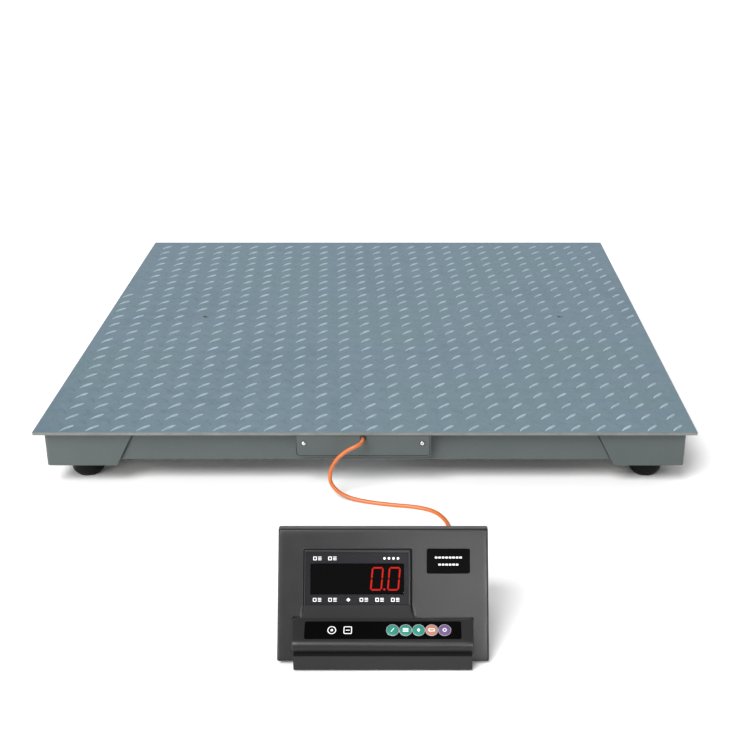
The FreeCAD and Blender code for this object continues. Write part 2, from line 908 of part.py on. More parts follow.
# ---- signal cable ---------------------------------------------------------------------------

def make_signal_cable():
    """The free cable from the grommet to the indicator, and the plug at its end."""
    cable, radii = tube(SIGNAL_ROUTE, dim.cable_radius, "SignalCable")
    print("signal cable radii", [round(radius, 1) for radius in radii])
    keep(cable, "signal_cable")
    start = dim.house_deep + dim.socket_flange
    barrel = rod(dim.plug_radius, dim.plug_long, (dim.socket_x, start, dim.socket_z), "y")
    collar = rod(dim.plug_radius + 1.2, dim.plug_long / 2, (dim.socket_x, start + 2, dim.socket_z), "y")
    boot = cone(dim.plug_radius - 1.5, dim.cable_radius + 1, dim.boot_long,
                (dim.socket_x, start + dim.plug_long, dim.socket_z), "y")
    keep(in_indicator(join(barrel, collar, boot)), "signal_plug")


# ---- indicator ------------------------------------------------------------------------------

tilt = math.radians(DIMENSIONS["panel_tilt"])
keypad_slope = math.radians(DIMENSIONS["keypad_tilt"])
panel_top_y = dim.panel_long * math.cos(tilt)
panel_top_z = dim.panel_foot + dim.panel_long * math.sin(tilt)
ridge_front = panel_top_y + 2.5
ridge_back = ridge_front + dim.ridge_wide
rear_wall = dim.house_deep - dim.wall
post_points = [
    (side * dim.post_x, y)
    for side in (-1, 1)
    for y in (dim.post_front, dim.post_back)
]


def panel_y(height, inset=0):
    """How far back the panel is at a height, or a face that lies inset behind it."""
    return (height - dim.panel_foot) / math.tan(tilt) + inset / math.sin(tilt)


def housing_solid():
    """The wedge of the housing, without its hollow."""
    wedge = profile_bar(
        [
            (panel_y(dim.house_low), dim.house_low),
            (dim.house_deep, dim.house_low),
            (dim.house_deep, dim.back_high),
            (ridge_back, dim.ridge_high),
            (ridge_front, dim.ridge_high),
            (panel_top_y, panel_top_z),
        ],
        dim.house_wide,
    )

    def end_edge(edge):
        x = abs(edge.CenterOfMass.x)
        return x > dim.house_wide.value / 2 - 0.5 and edge.CenterOfMass.z > dim.house_low.value + 1

    return edge_rounds(wedge, dim.house_round, end_edge)


def housing_hollow():
    low = dim.house_low - 1
    inset = dim.wall
    return profile_bar(
        [
            (panel_y(low, inset), low),
            (rear_wall, low),
            (rear_wall, dim.back_high - 1.5),
            (ridge_back - 1.5, dim.ridge_high - inset),
            (ridge_front + 1.5, dim.ridge_high - inset),
            (panel_y(panel_top_z - 1.5, inset), panel_top_z - 1.5),
        ],
        dim.house_wide - 2 * inset,
    )


def tray_top():
    """The front of the upper shell that carries the keypad and rolls under at its nose."""
    nose_y = dim.keypad_back_y - dim.keypad_long * math.cos(keypad_slope)
    nose_z = dim.keypad_back_z - dim.keypad_long * math.sin(keypad_slope)
    low = dim.part_line + dim.part_gap / 2
    bar = profile_bar(
        [
            (dim.undercut_y, low),
            (dim.keypad_back_y - 4, low),
            (dim.keypad_back_y + 4, dim.keypad_back_z),
            (dim.keypad_back_y, dim.keypad_back_z),
            (nose_y, nose_z),
        ],
        dim.tray_wide,
    )

    def nose_edge(edge):
        return edge.CenterOfMass.y < nose_y.value + 0.5 and abs(edge.CenterOfMass.x) < 1

    return edge_rounds(bar, dim.nose_round, nose_edge)


def tray_hollow():
    low = dim.part_line - 1
    top = dim.keypad_back_z - 4
    return profile_bar(
        [
            (dim.undercut_y + 3.6, low),
            (dim.keypad_back_y + 6, low),
            (dim.keypad_back_y + 6, top),
            (dim.keypad_back_y, top),
            (-1.5, dim.part_line + 12.1),
            (-5.2, dim.part_line + 6.6),
        ],
        dim.tray_wide - 2 * dim.wall,
    )


def display_tongue():
    """The raised pad that carries the display and ramps down into the tray."""
    bar = profile_bar(
        [
            (dim.tongue_foot, -1),
            (dim.tongue_end, -1),
            (dim.tongue_end, 0),
            (dim.tongue_top, dim.tongue_high),
            (dim.tongue_ramp, dim.tongue_high),
            (dim.tongue_foot, 0),
        ],
        dim.tongue_wide,
    )
    return on_panel(bar, dim.pad_x)


def panel_block(centre, width, low, high, bottom, top):
    """A box on the panel: centred in X, from low to high up the slope, from bottom to top out of it."""
    half = width / 2
    return on_panel(slab((centre - half, low, bottom), (centre + half, high, top)))


def panel_cuts():
    """Openings for the display and the seats of the film and the label."""
    seat_gap = 0.2
    above = dim.tongue_high + 5
    film = panel_block(
        dim.pad_x, dim.film_wide + 2 * seat_gap,
        dim.film_low - seat_gap, dim.film_high + seat_gap,
        dim.tongue_high - dim.film_sunk, above,
    )
    view = panel_block(
        dim.pad_x, dim.view_wide + 2 * dim.view_gap,
        dim.view_low - dim.view_gap, dim.view_high + dim.view_gap,
        -10, above,
    )
    board_room = panel_block(
        dim.pad_x, dim.view_wide + 6, dim.view_low - 4, dim.view_high + 4, -10, 1.5
    )
    label = panel_block(
        dim.label_x, dim.label_wide + 2 * seat_gap,
        dim.label_low - seat_gap, dim.label_high + seat_gap,
        -dim.label_sunk, above,
    )
    return [film, view, board_room, label]


def key_slot():
    """One long opening under the five keys."""
    last = dim.key_first + 4 * dim.key_pitch
    reach = dim.key_radius + 0.5
    slot = block(
        (dim.key_first - reach, dim.key_y - reach, -12), (last + reach, dim.key_y + reach, 2)
    )
    half = dim.overlay_wide / 2
    seat = block(
        (-half - 0.2, dim.overlay_front - 0.2, -dim.label_sunk),
        (half + 0.2, dim.overlay_back + 0.2, 3),
    )
    return on_keypad(group(slot, seat))


def screw_posts():
    """Posts inside the upper shell that the housing screws cut into."""
    low = dim.house_low + dim.base_thick + 0.2
    posts = at_points(post_points, lambda x, y: rod(dim.post_radius, 110, (x, y, low)))
    return overlap(posts, housing_solid())


def rear_openings():
    """Openings in the rear wall for the socket, port, switch and mains inlet."""
    start = rear_wall - 3
    end = start + 10

    def window(x, half_wide, half_high):
        low = (x - half_wide, start, dim.rear_z - half_high)
        return block(low, (x + half_wide, end, dim.rear_z + half_high))

    return [
        rod(dim.socket_radius - 1.5, 10, (dim.socket_x, start, dim.socket_z), "y"),
        window(dim.serial_x, 12.5, 5.5),
        window(dim.switch_x, 7, 10.8),
        window(dim.inlet_x, 14.2, 10.2),
    ]


def make_upper_shell():
    outside = join(housing_solid(), tray_top(), display_tongue())
    shell = subtract(outside, housing_hollow(), tray_hollow())
    side = dim.tray_wide / 2 + 0.3
    lower_front = block(
        (-side, -dim.tray_front - 1, 0),
        (side, 30, dim.part_line + dim.part_gap / 2),
    )
    shell = subtract(shell, lower_front, *panel_cuts(), key_slot(), *rear_openings())
    low = dim.house_low + dim.base_thick - 1
    pilots = at_points(post_points, lambda x, y: rod(dim.pilot_radius, 12, (x, y, low)))
    keep(in_indicator(subtract(join(shell, screw_posts()), pilots)), "upper_shell")


def tray_foot(back, top):
    """The hollow front foot under the keypad, open at the top behind its lip."""
    half = dim.tray_foot_wide / 2
    inner = half - dim.wall
    front = dim.wall - dim.tray_front
    base_top = dim.house_low + dim.base_thick
    outside = block((-half, -dim.tray_front, dim.tray_low), (half, back, top))
    under_lip = block(
        (-inner, front, dim.tray_low + dim.wall),
        (inner, dim.undercut_y + 8, top - 2.5),
    )
    well = block(
        (-inner, dim.undercut_y + 3, dim.tray_low + dim.wall),
        (inner, back - 4, top + 1),
    )
    throat = block((-inner, back - 5, base_top), (inner, back + 1, top + 1))
    return subtract(outside, under_lip, well, throat)


def make_lower_shell():
    """The base plate with its rim, and the hollow front foot of the tray."""
    gap = 0.3
    low = dim.house_low
    thick = dim.base_thick
    half = dim.house_wide / 2 - dim.wall - gap
    front = panel_y(low + thick, dim.wall) + gap
    back = rear_wall - gap
    rim_front = front + 4
    plate = block((-half, front, low), (half, back, low + thick))
    rim = subtract(
        block((-half, rim_front, low), (half, back, low + 8)),
        block((thick - half, rim_front + thick, low - 1), (half - thick, back - thick, low + 9)),
    )
    foot = tray_foot(rim_front, dim.part_line - dim.part_gap / 2)
    heads = at_points(
        post_points,
        lambda x, y: group(rod(3.2, 1.8, (x, y, low - 0.01)), rod(2, 8, (x, y, low - 1))),
    )
    keep(in_indicator(subtract(join(plate, rim, foot), heads)), "lower_shell")
    screws = at_points(
        post_points,
        lambda x, y: join(rod(3, 1.6, (x, y, low)), rod(dim.pilot_radius, 8, (x, y, low + 1.6))),
    )
    keep(in_indicator(screws), "housing_screws")
    feet = at_points(
        [(side * dim.foot_x, y) for side in (-1, 1) for y in (dim.foot_front, dim.foot_back)],
        lambda x, y: cone(dim.foot_radius - 1, dim.foot_radius, low, (x, y, 0)),
    )
    keep(in_indicator(feet), "indicator_feet")


def on_panel_world(item):
    y = dim.indicator_y
    return place(item, dim.indicator_x, y, dim.panel_foot, X_AXIS, dim.panel_tilt)


def on_keypad_world(item):
    y = dim.indicator_y + dim.keypad_back_y
    return place(item, dim.indicator_x, y, dim.keypad_back_z, X_AXIS, dim.keypad_tilt)


def make_display():
    """A film round a tinted window, five digit modules behind it on their board, and the label."""
    x = dim.pad_x
    seat = dim.tongue_high - dim.film_sunk
    half_view = dim.view_wide / 2
    half_film = dim.film_wide / 2
    film = subtract(
        block(
            (x - half_film, dim.film_low, seat),
            (x + half_film, dim.film_high, seat + dim.film_thick),
        ),
        block((x - half_view, dim.view_low, seat - 1), (x + half_view, dim.view_high, seat + 2)),
    )
    keep(on_panel_world(film), "display_film")
    window_top = seat + dim.film_thick / 2
    window = slab(
        (x - half_view + 0.1, dim.view_low + 0.1, window_top - dim.view_thick),
        (x + half_view - 0.1, dim.view_high - 0.1, window_top),
    )
    keep(on_panel_world(window), "display_window")
    digit_top = window_top - dim.view_thick - 0.5
    digit_low = digit_top - dim.digit_deep
    count = 5
    digits = []
    for number in range(count):
        left = x + dim.digit_pitch * (number - count / 2)
        digit = block(
            (left + 0.2, dim.view_low + 1, digit_low),
            (left + dim.digit_pitch - 0.2, dim.view_high - 1, digit_top),
        )
        digits.append(digit)
    keep(on_panel_world(group(*digits)), "led_digits")
    board = slab(
        (x - half_view - 4, dim.view_low - 3, digit_low - 1.6),
        (x + half_view + 4, dim.view_high + 3, digit_low),
    )
    keep(on_panel_world(board), "display_board")
    label = slab(
        (dim.label_x - dim.label_wide / 2, dim.label_low, -dim.label_sunk),
        (dim.label_x + dim.label_wide / 2, dim.label_high, 0.3),
    )
    keep(on_panel_world(label), "label_plate")


def make_keypad():
    """The printed overlay, five keys that press through it, and their switch board."""
    half = dim.overlay_wide / 2
    sheet_low = -dim.label_sunk
    overlay = block((-half, dim.overlay_front, sheet_low), (half, dim.overlay_back, 0.3))
    centres = [dim.key_first + number * dim.key_pitch for number in range(len(KEY_NAMES))]
    holes = [rod(dim.key_radius + dim.key_gap, 4, (x, dim.key_y, -2)) for x in centres]
    keep(on_keypad_world(subtract(overlay, *holes)), "keypad_overlay")
    for name, x in zip(KEY_NAMES, centres):
        cap = join(
            rod(dim.key_radius, dim.key_skirt, (x, dim.key_y, -dim.key_skirt)),
            cone(dim.key_radius, dim.key_radius - 1, dim.key_rise, (x, dim.key_y, 0)),
        )
        keep(on_keypad_world(cap), name)
    board_top = -dim.key_skirt - 5
    board = block(
        (centres[0] - 12, dim.key_y - 9, board_top - 1.6),
        (centres[-1] + 12, dim.key_y + 9, board_top),
    )
    switches = [
        join(
            block((x - 3, dim.key_y - 3, board_top), (x + 3, dim.key_y + 3, board_top + 3.2)),
            rod(1.7, 0.9, (x, dim.key_y, board_top + 3.2)),
        )
        for x in centres
    ]
    keep(on_keypad_world(join(board, *switches)), "keypad_board")


def make_inner_works():
    """The battery, the transformer and the main board, all on the base plate."""
    base = dim.house_low + dim.base_thick
    battery = join(
        block((14, 42, base), (115, 112, base + 47)),
        block((20, 50, base + 47), (26, 52, base + 53)),
        block((20, 100, base + 47), (26, 102, base + 53)),
    )
    keep(in_indicator(battery), "battery")
    core = block((-112, 64, base), (-58, 82, base + 45))
    winding = block((-104, 52, base + 9), (-66, 94, base + 36))
    keep(in_indicator(join(core, winding)), "transformer")
    board = block((-50, 40, base + 6), (8, 130, base + 7.6))
    corners = [(x, y) for x in (-46, 4) for y in (44, 126)]
    posts = at_points(corners, lambda x, y: rod(2.5, 6, (x, y, base)))
    chips = [
        block((-38, 60, base + 7.6), (-18, 80, base + 10)),
        block((-10, 60, base + 7.6), (2, 100, base + 14)),
        block((-44, 100, base + 7.6), (-30, 122, base + 20)),
    ]
    keep(in_indicator(join(board, posts, *chips)), "main_board")


def make_rear_fittings():
    """Socket, port, switch and mains inlet, all through the rear wall."""
    out = dim.house_deep
    z = dim.rear_z
    socket = subtract(
        join(
            rod(dim.socket_radius + 2, dim.socket_flange, (dim.socket_x, out, dim.socket_z), "y"),
            rod(dim.socket_radius - 1.8, 16, (dim.socket_x, out - 16, dim.socket_z), "y"),
        ),
        rod(2, 1.5, (dim.socket_x + 8.5, out + 1.5, dim.socket_z), "y"),
    )
    keep(in_indicator(socket), "signal_socket")
    x = dim.serial_x
    port = subtract(
        join(
            block((x - 15.5, out, z - 6.3), (x + 15.5, out + 1, z + 6.3)),
            block((x - 9.5, out, z - 4.5), (x + 9.5, out + 6.5, z + 4.5)),
            block((x - 12, out - 10, z - 5), (x + 12, out, z + 5)),
        ),
        block((x - 8.7, out + 1, z - 3.7), (x + 8.7, out + 8, z + 3.7)),
    )
    keep(in_indicator(port), "serial_port")
    x = dim.switch_x
    reach = dim.rocker_radius + dim.rocker_gap
    side = dim.rocker_wide / 2 + dim.rocker_gap
    frame = subtract(
        join(
            block((x - 9, out, z - 13), (x + 9, out + 2, z + 13)),
            block((x - 6.8, out - 16, z - 10.6), (x + 6.8, out, z + 10.6)),
        ),
        block((x - side, out - 14, z - reach), (x + side, out + 3, z + reach)),
    )
    keep(in_indicator(frame), "power_switch_frame")
    make_rocker()
    x = dim.inlet_x
    inlet = subtract(
        join(
            block((x - 25, out, z - 14), (x + 25, out + 3, z + 14)),
            block((x - 14, out - 20, z - 10), (x + 14, out, z + 10)),
        ),
        block((x - 12, out - 14, z - 8), (x + 12, out + 4, z + 8)),
    )
    pins = [
        block((x - 9, out - 26, z - 1), (x - 5, out - 1, z + 1)),
        block((x + 5, out - 26, z - 1), (x + 9, out - 1, z + 1)),
        block((x - 2, out - 26, z + 3), (x + 2, out - 1, z + 5)),
    ]
    keep(in_indicator(join(inlet, *pins)), "mains_inlet")


def make_rocker():
    """A drum on a cross pin with a hollowed front, tipped to its 'on' side."""
    drum = rod(dim.rocker_radius, dim.rocker_wide, (-dim.rocker_wide / 2, 0, 0), "x")
    notch = profile_bar([(6, 0), (8, 10), (20, 10), (20, -10), (8, -10)], dim.rocker_wide + 4)
    rocker = subtract(drum, notch)
    pivot_y = dim.indicator_y + dim.house_deep - 4
    place(rocker, dim.indicator_x + dim.switch_x, pivot_y, dim.rear_z, X_AXIS, dim.rocker_set)
    keep(rocker, "power_rocker")


# ---- assembly -------------------------------------------------------------------------------

def build():
    make_deck()
    make_channels()
    for number, name in enumerate(CORNERS):
        make_corner_guard(name, 90 * number)
    make_ribs()
    for name, (side_x, side_y) in CORNERS.items():
        make_load_cell(name, side_x, side_y)
        make_foot(name, side_x, side_y)
    make_cell_fixings()
    make_junction_box()
    make_inner_leads()
    make_front_cover()
    make_signal_cable()
    make_upper_shell()
    make_lower_shell()
    make_display()
    make_keypad()
    make_inner_works()
    make_rear_fittings()


def export():
    doc.recompute()
    for item in doc.Objects:
        if "Invalid" in item.State or "Error" in item.State:
            raise RuntimeError(f"{item.Label} ({item.Name}) failed: {item.State}")
    os.makedirs("parts", exist_ok=True)
    for item in subparts:
        shape = item.Shape
        if shape.isNull() or not shape.isValid() or not shape.Solids:
            raise RuntimeError(f"{item.Label} has no valid solid")
        shape.exportStep(os.path.join("parts", item.Label + ".step"))
        box = shape.optimalBoundingBox()
        spans = [(box.XMin, box.XMax), (box.YMin, box.YMax), (box.ZMin, box.ZMax)]
        extent = "  ".join(f"{low:7.1f} {high:7.1f}" for low, high in spans)
        print(f"{item.Label:24s} solids {len(shape.Solids):2d} volume {shape.Volume:10.0f} {extent}")
    print(f"{len(subparts)} sub-parts")


build()
export()
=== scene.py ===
"""Pallet scale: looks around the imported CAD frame. Sizes are in millimetres until they reach a mesh."""

import json
import math
import random

import bmesh
import bpy
from mathutils import Matrix, Vector


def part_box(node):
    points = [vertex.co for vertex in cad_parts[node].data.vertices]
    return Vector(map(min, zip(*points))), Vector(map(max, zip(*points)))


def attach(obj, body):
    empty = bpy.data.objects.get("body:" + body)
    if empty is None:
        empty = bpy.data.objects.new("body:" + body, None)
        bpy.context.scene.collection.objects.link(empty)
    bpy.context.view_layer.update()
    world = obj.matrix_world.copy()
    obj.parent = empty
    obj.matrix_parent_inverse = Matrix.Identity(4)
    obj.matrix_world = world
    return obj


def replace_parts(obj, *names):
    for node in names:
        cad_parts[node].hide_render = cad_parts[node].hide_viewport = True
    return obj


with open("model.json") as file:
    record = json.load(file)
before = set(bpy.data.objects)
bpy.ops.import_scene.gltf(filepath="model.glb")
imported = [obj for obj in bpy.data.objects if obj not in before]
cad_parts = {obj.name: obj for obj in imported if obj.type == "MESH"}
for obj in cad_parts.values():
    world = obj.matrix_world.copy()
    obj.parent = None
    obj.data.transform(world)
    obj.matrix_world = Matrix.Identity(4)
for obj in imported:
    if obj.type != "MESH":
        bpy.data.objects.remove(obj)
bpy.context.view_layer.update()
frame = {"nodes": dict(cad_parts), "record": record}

MM = 0.001
FLOOR_SIZE = 60  # metres

# ---- places, the same as in the CAD model ---------------------------------------------------

DECK_Y = 230.5
LIFT_HOLES_X = (-313.5, 352.5)
LIFT_HOLES_Y = 241.5
COVER_FACE_Y = -267.5
INDICATOR = Vector((33.8, -718, 0))
PANEL_FOOT = 6.6
PANEL_TILT = math.radians(61)
KEYPAD_BACK = Vector((0, 24.3, 50.5))
KEYPAD_TILT = math.radians(26.5)
DISPLAY_X = -30.8
FILM_FACE = 5.4
PANEL = Matrix.Translation(INDICATOR + Vector((0, 0, PANEL_FOOT))) @ Matrix.Rotation(PANEL_TILT, 4, "X")
KEYPAD = Matrix.Translation(INDICATOR + KEYPAD_BACK) @ Matrix.Rotation(KEYPAD_TILT, 4, "X")
LABEL_X = 78.5
LABEL_UP = 117.9
OVERLAY_Y = -16.25
KEY_FIRST = 11.5
KEY_PITCH = 15.5
KEY_Y = -16.3
KEY_RADIUS = 7
KEY_COUNT = 5
SHEET_FACE = 0.3  # the label and the overlay stand this far off the housing

SIGNAL_ROUTE = [
    (-3, -271.5, 86),
    (-3, -284.5, 86),
    (-12, -293.5, 84.8),
    (-27, -294.5, 77.5),
    (-41.5, -294.5, 64.5),
    (-51.5, -295, 46.5),
    (-53, -297, 28),
    (-42, -301.5, 13.5),
    (-22, -307.5, 5),
    (6, -316, 3),
    (40, -324.5, 3),
    (74, -329.5, 3),
    (103, -342, 3),
    (119, -368, 3),
    (126, -400, 3),
    (126.5, -434, 3),
    (123, -466, 6),
    (118, -490, 20),
    (114.5, -507.5, 35),
    (112, -522.5, 42),
    (112, -537, 42),
]

# ---- materials ------------------------------------------------------------------------------


class Surface:
    """A Principled material whose colour, roughness and bump are built from procedural nodes."""

    def __init__(self, name, roughness=0.5, metallic=0.0, **sockets):
        self.material = bpy.data.materials.new(name)
        self.material.use_nodes = True
        self.tree = self.material.node_tree
        self.shader = self.tree.nodes["Principled BSDF"]
        self.shader.inputs["Roughness"].default_value = roughness
        self.shader.inputs["Metallic"].default_value = metallic
        for socket, number in sockets.items():
            self.shader.inputs[socket.replace("_", " ")].default_value = number
        self.place = self.add("ShaderNodeTexCoord").outputs["Object"]
        self.normal = None

    def add(self, kind, **values):
        node = self.tree.nodes.new(kind)
        for prop, value in values.items():
            setattr(node, prop, value)
        return node

    def link(self, source, target):
        self.tree.links.new(source, target)

    def noise(self, scale, detail, roughness, stretch=None):
        node = self.add("ShaderNodeTexNoise")
        node.inputs["Scale"].default_value = scale
        node.inputs["Detail"].default_value = detail
        node.inputs["Roughness"].default_value = roughness
        self.link(self.stretched(stretch) if stretch else self.place, node.inputs["Vector"])
        return node.outputs["Fac"]

    def stretched(self, factors):
        mapping = self.add("ShaderNodeMapping")
        mapping.inputs["Scale"].default_value = factors
        self.link(self.place, mapping.inputs["Vector"])
        return mapping.outputs["Vector"]

    def cell_edges(self, scale):
        node = self.add("ShaderNodeTexVoronoi", feature="DISTANCE_TO_EDGE")
        node.inputs["Scale"].default_value = scale
        self.link(self.place, node.inputs["Vector"])
        return node.outputs["Distance"]

    def ramp(self, fac, stops):
        node = self.add("ShaderNodeValToRGB")
        ramp = node.color_ramp
        while len(ramp.elements) < len(stops):
            ramp.elements.new(0.5)
        for element, (spot, colour) in zip(ramp.elements, stops):
            element.position = spot
            element.color = colour if len(colour) == 4 else (*colour, 1)
        self.link(fac, node.inputs["Fac"])
        return node.outputs["Color"]

    def levels(self, fac, low, high, floor=0.0, ceiling=1.0):
        node = self.add("ShaderNodeMapRange")
        sockets = ("From Min", "From Max", "To Min", "To Max")
        for socket, number in zip(sockets, (low, high, floor, ceiling)):
            node.inputs[socket].default_value = number
        self.link(fac, node.inputs["Value"])
        return node.outputs["Result"]

    def mix(self, fac, first, second):
        node = self.add("ShaderNodeMix", data_type="RGBA")
        self.link(fac, node.inputs["Factor"])
        for index, value in ((6, first), (7, second)):
            if isinstance(value, tuple):
                node.inputs[index].default_value = (*value, 1)
            else:
                self.link(value, node.inputs[index])
        return node.outputs[2]

    def upward(self, low, high):
        """One where a face looks up, zero where it looks sideways."""
        split = self.add("ShaderNodeSeparateXYZ")
        self.link(self.add("ShaderNodeNewGeometry").outputs["Normal"], split.inputs["Vector"])
        return self.levels(split.outputs["Z"], low, high)

    def colour(self, value):
        if isinstance(value, tuple):
            self.shader.inputs["Base Color"].default_value = (*value, 1)
        else:
            self.link(value, self.shader.inputs["Base Color"])

    def rough(self, fac):
        self.link(fac, self.shader.inputs["Roughness"])

    def bump(self, fac, strength, distance):
        node = self.add("ShaderNodeBump")
        node.inputs["Strength"].default_value = strength
        node.inputs["Distance"].default_value = distance
        self.link(fac, node.inputs["Height"])
        if self.normal:
            self.link(self.normal, node.inputs["Normal"])
        self.normal = node.outputs["Normal"]
        self.link(self.normal, self.shader.inputs["Normal"])


def deck_paint():
    """Blue-grey enamel on rolled tread plate, with a bare grey sheared edge."""
    paint = Surface("deck_enamel", roughness=0.5, Specular_IOR_Level=0.3)
    broad = paint.ramp(
        paint.noise(5.5, 4, 0.55),
        [(0.36, (0.079, 0.131, 0.169)), (0.52, (0.090, 0.143, 0.180)), (0.66, (0.085, 0.144, 0.168))],
    )
    drift = paint.levels(paint.noise(46, 5, 0.62), 0.42, 0.72, 0, 0.5)
    mottled = paint.mix(drift, broad, (0.107, 0.162, 0.198))
    specks = paint.levels(paint.noise(420, 2, 0.5), 0.60, 0.72, 0, 0.55)
    flecked = paint.mix(specks, mottled, (0.140, 0.198, 0.235))
    grime = paint.levels(paint.noise(150, 4, 0.6), 0.55, 0.75, 0, 0.4)
    dull = paint.mix(grime, flecked, (0.056, 0.094, 0.121))
    edge = paint.ramp(paint.noise(30, 5, 0.7), [(0.3, (0.135, 0.14, 0.13)), (0.7, (0.20, 0.205, 0.19))])
    paint.colour(paint.mix(paint.upward(0.25, 0.75), edge, dull))
    paint.rough(paint.levels(paint.noise(70, 4, 0.6), 0.3, 0.7, 0.44, 0.58))
    paint.bump(paint.noise(900, 3, 0.6), 0.16, 0.0004)
    paint.bump(paint.noise(60, 4, 0.5), 0.10, 0.0015)
    return paint.material


def tread_painted_highlight():
    """The deck's enamel painted lighter on the raised drops, a painted highlight for the light they catch,
    with some grime.
    """
    paint = Surface("enamel_painted_highlight", roughness=0.46, Specular_IOR_Level=0.4)
    # Painted highlight: these lighter tones stand in for the light that the raised drops catch.
    painted_highlight = paint.ramp(paint.noise(60, 4, 0.6), [(0.35, (0.23, 0.32, 0.37)), (0.65, (0.31, 0.41, 0.46))])
    grime = paint.levels(paint.noise(300, 4, 0.6), 0.5, 0.75, 0, 0.4)
    paint.colour(paint.mix(grime, painted_highlight, (0.11, 0.16, 0.19)))
    paint.rough(paint.levels(paint.noise(90, 4, 0.6), 0.3, 0.7, 0.40, 0.52))
    paint.bump(paint.noise(900, 3, 0.6), 0.14, 0.0004)
    return paint.material


def frame_paint():
    """Grey-green enamel on folded steel: orange peel, a few scuffs, faint darker streaks."""
    paint = Surface("frame_enamel", roughness=0.42, Coat_Weight=0.1, Coat_Roughness=0.3)
    tones = [(0.35, (0.055, 0.070, 0.068)), (0.65, (0.063, 0.079, 0.077))]
    base = paint.ramp(paint.noise(9, 4, 0.5), tones)
    scuffs = paint.levels(paint.noise(140, 6, 0.7), 0.60, 0.78, 0, 0.35)
    rubbed = paint.mix(scuffs, base, (0.13, 0.145, 0.14))
    streaks = paint.levels(paint.noise(26, 4, 0.6, stretch=(6, 6, 0.5)), 0.56, 0.74, 0, 0.22)
    paint.colour(paint.mix(streaks, rubbed, (0.05, 0.061, 0.058)))
    paint.rough(paint.levels(paint.noise(90, 4, 0.6), 0.3, 0.7, 0.34, 0.52))
    paint.bump(paint.noise(700, 3, 0.5), 0.14, 0.0004)
    paint.bump(paint.noise(40, 3, 0.5), 0.08, 0.002)
    return paint.material


def bare_steel(name, tone, roughness, grain=1.0):
    """Plated or ground steel with a fine directional grain."""
    steel = Surface(name, roughness=roughness, metallic=1.0)
    fine = steel.noise(1200, 3, 0.6, stretch=(1, 1, 0.08))
    dark = tuple(0.82 * part for part in tone)
    steel.colour(steel.ramp(fine, [(0.3, dark), (0.7, tone)]))
    steel.rough(steel.levels(steel.noise(160, 4, 0.6), 0.3, 0.7, roughness * 0.8, roughness * 1.25))
    steel.bump(fine, 0.12 * grain, 0.0002)
    return steel.material


def moulded(name, tone, roughness, grain=900, strength=0.12, spread=1.12, **sockets):
    """Moulded plastic or rubber: an even colour with a slight drift and a fine texture."""
    plastic = Surface(name, roughness=roughness, **sockets)
    light = tuple(min(1.0, spread * part) for part in tone)
    plastic.colour(plastic.ramp(plastic.noise(14, 3, 0.5), [(0.35, tone), (0.65, light)]))
    plastic.rough(plastic.levels(plastic.noise(55, 4, 0.6), 0.3, 0.7, roughness * 0.9, roughness * 1.12))
    plastic.bump(plastic.noise(grain, 2, 0.5), strength, 0.00025)
    return plastic.material


def cable_sheath():
    """Orange PVC with a fine ripple and a little grime."""
    sheath = Surface("orange_sheath", roughness=0.38, Coat_Weight=0.15, Coat_Roughness=0.2)
    tones = [(0.3, (0.46, 0.105, 0.014)), (0.7, (0.53, 0.13, 0.022))]
    clean = sheath.ramp(sheath.noise(40, 3, 0.5), tones)
    grime = sheath.levels(sheath.noise(260, 4, 0.7), 0.6, 0.8, 0, 0.3)
    sheath.colour(sheath.mix(grime, clean, (0.36, 0.09, 0.025)))
    sheath.bump(sheath.noise(500, 3, 0.5), 0.1, 0.0003)
    return sheath.material


def circuit_board():
    """Green solder resist with paler tracks."""
    board = Surface("circuit_board", roughness=0.35, Coat_Weight=0.3)
    tracks = board.levels(board.cell_edges(420), 0.02, 0.06)
    board.colour(board.mix(tracks, (0.05, 0.32, 0.14), (0.015, 0.12, 0.05)))
    board.bump(tracks, 0.2, 0.0002)
    return board.material


def smoked_pane():
    """Dark tinted acrylic, clear enough for the lit segments behind it."""
    pane = Surface("smoked_acrylic", roughness=0.05, Transmission_Weight=1.0, IOR=1.25)
    tint = [(0.3, (0.040, 0.024, 0.024)), (0.7, (0.044, 0.027, 0.027))]
    pane.colour(pane.ramp(pane.noise(20, 2, 0.4), tint))
    pane.bump(pane.noise(160, 2, 0.4), 0.02, 0.0002)
    return pane.material


def lit_segment():
    """A red bar that glows."""
    lamp = Surface("lit_segment", roughness=0.4, Emission_Strength=17.0)
    glow = lamp.ramp(lamp.noise(900, 2, 0.5), [(0.3, (1.0, 0.04, 0.03)), (0.7, (1.0, 0.05, 0.035))])
    lamp.colour((0.5, 0.02, 0.02))
    lamp.link(glow, lamp.shader.inputs["Emission Color"])
    return lamp.material


def wound_core():
    """Steel laminations with a taped winding."""
    core = Surface("wound_core", roughness=0.5, metallic=0.3)
    layers = core.noise(30, 2, 0.5, stretch=(1, 60, 1))
    core.colour(core.ramp(layers, [(0.4, (0.10, 0.09, 0.08)), (0.6, (0.26, 0.23, 0.2))]))
    core.bump(layers, 0.4, 0.0006)
    return core.material


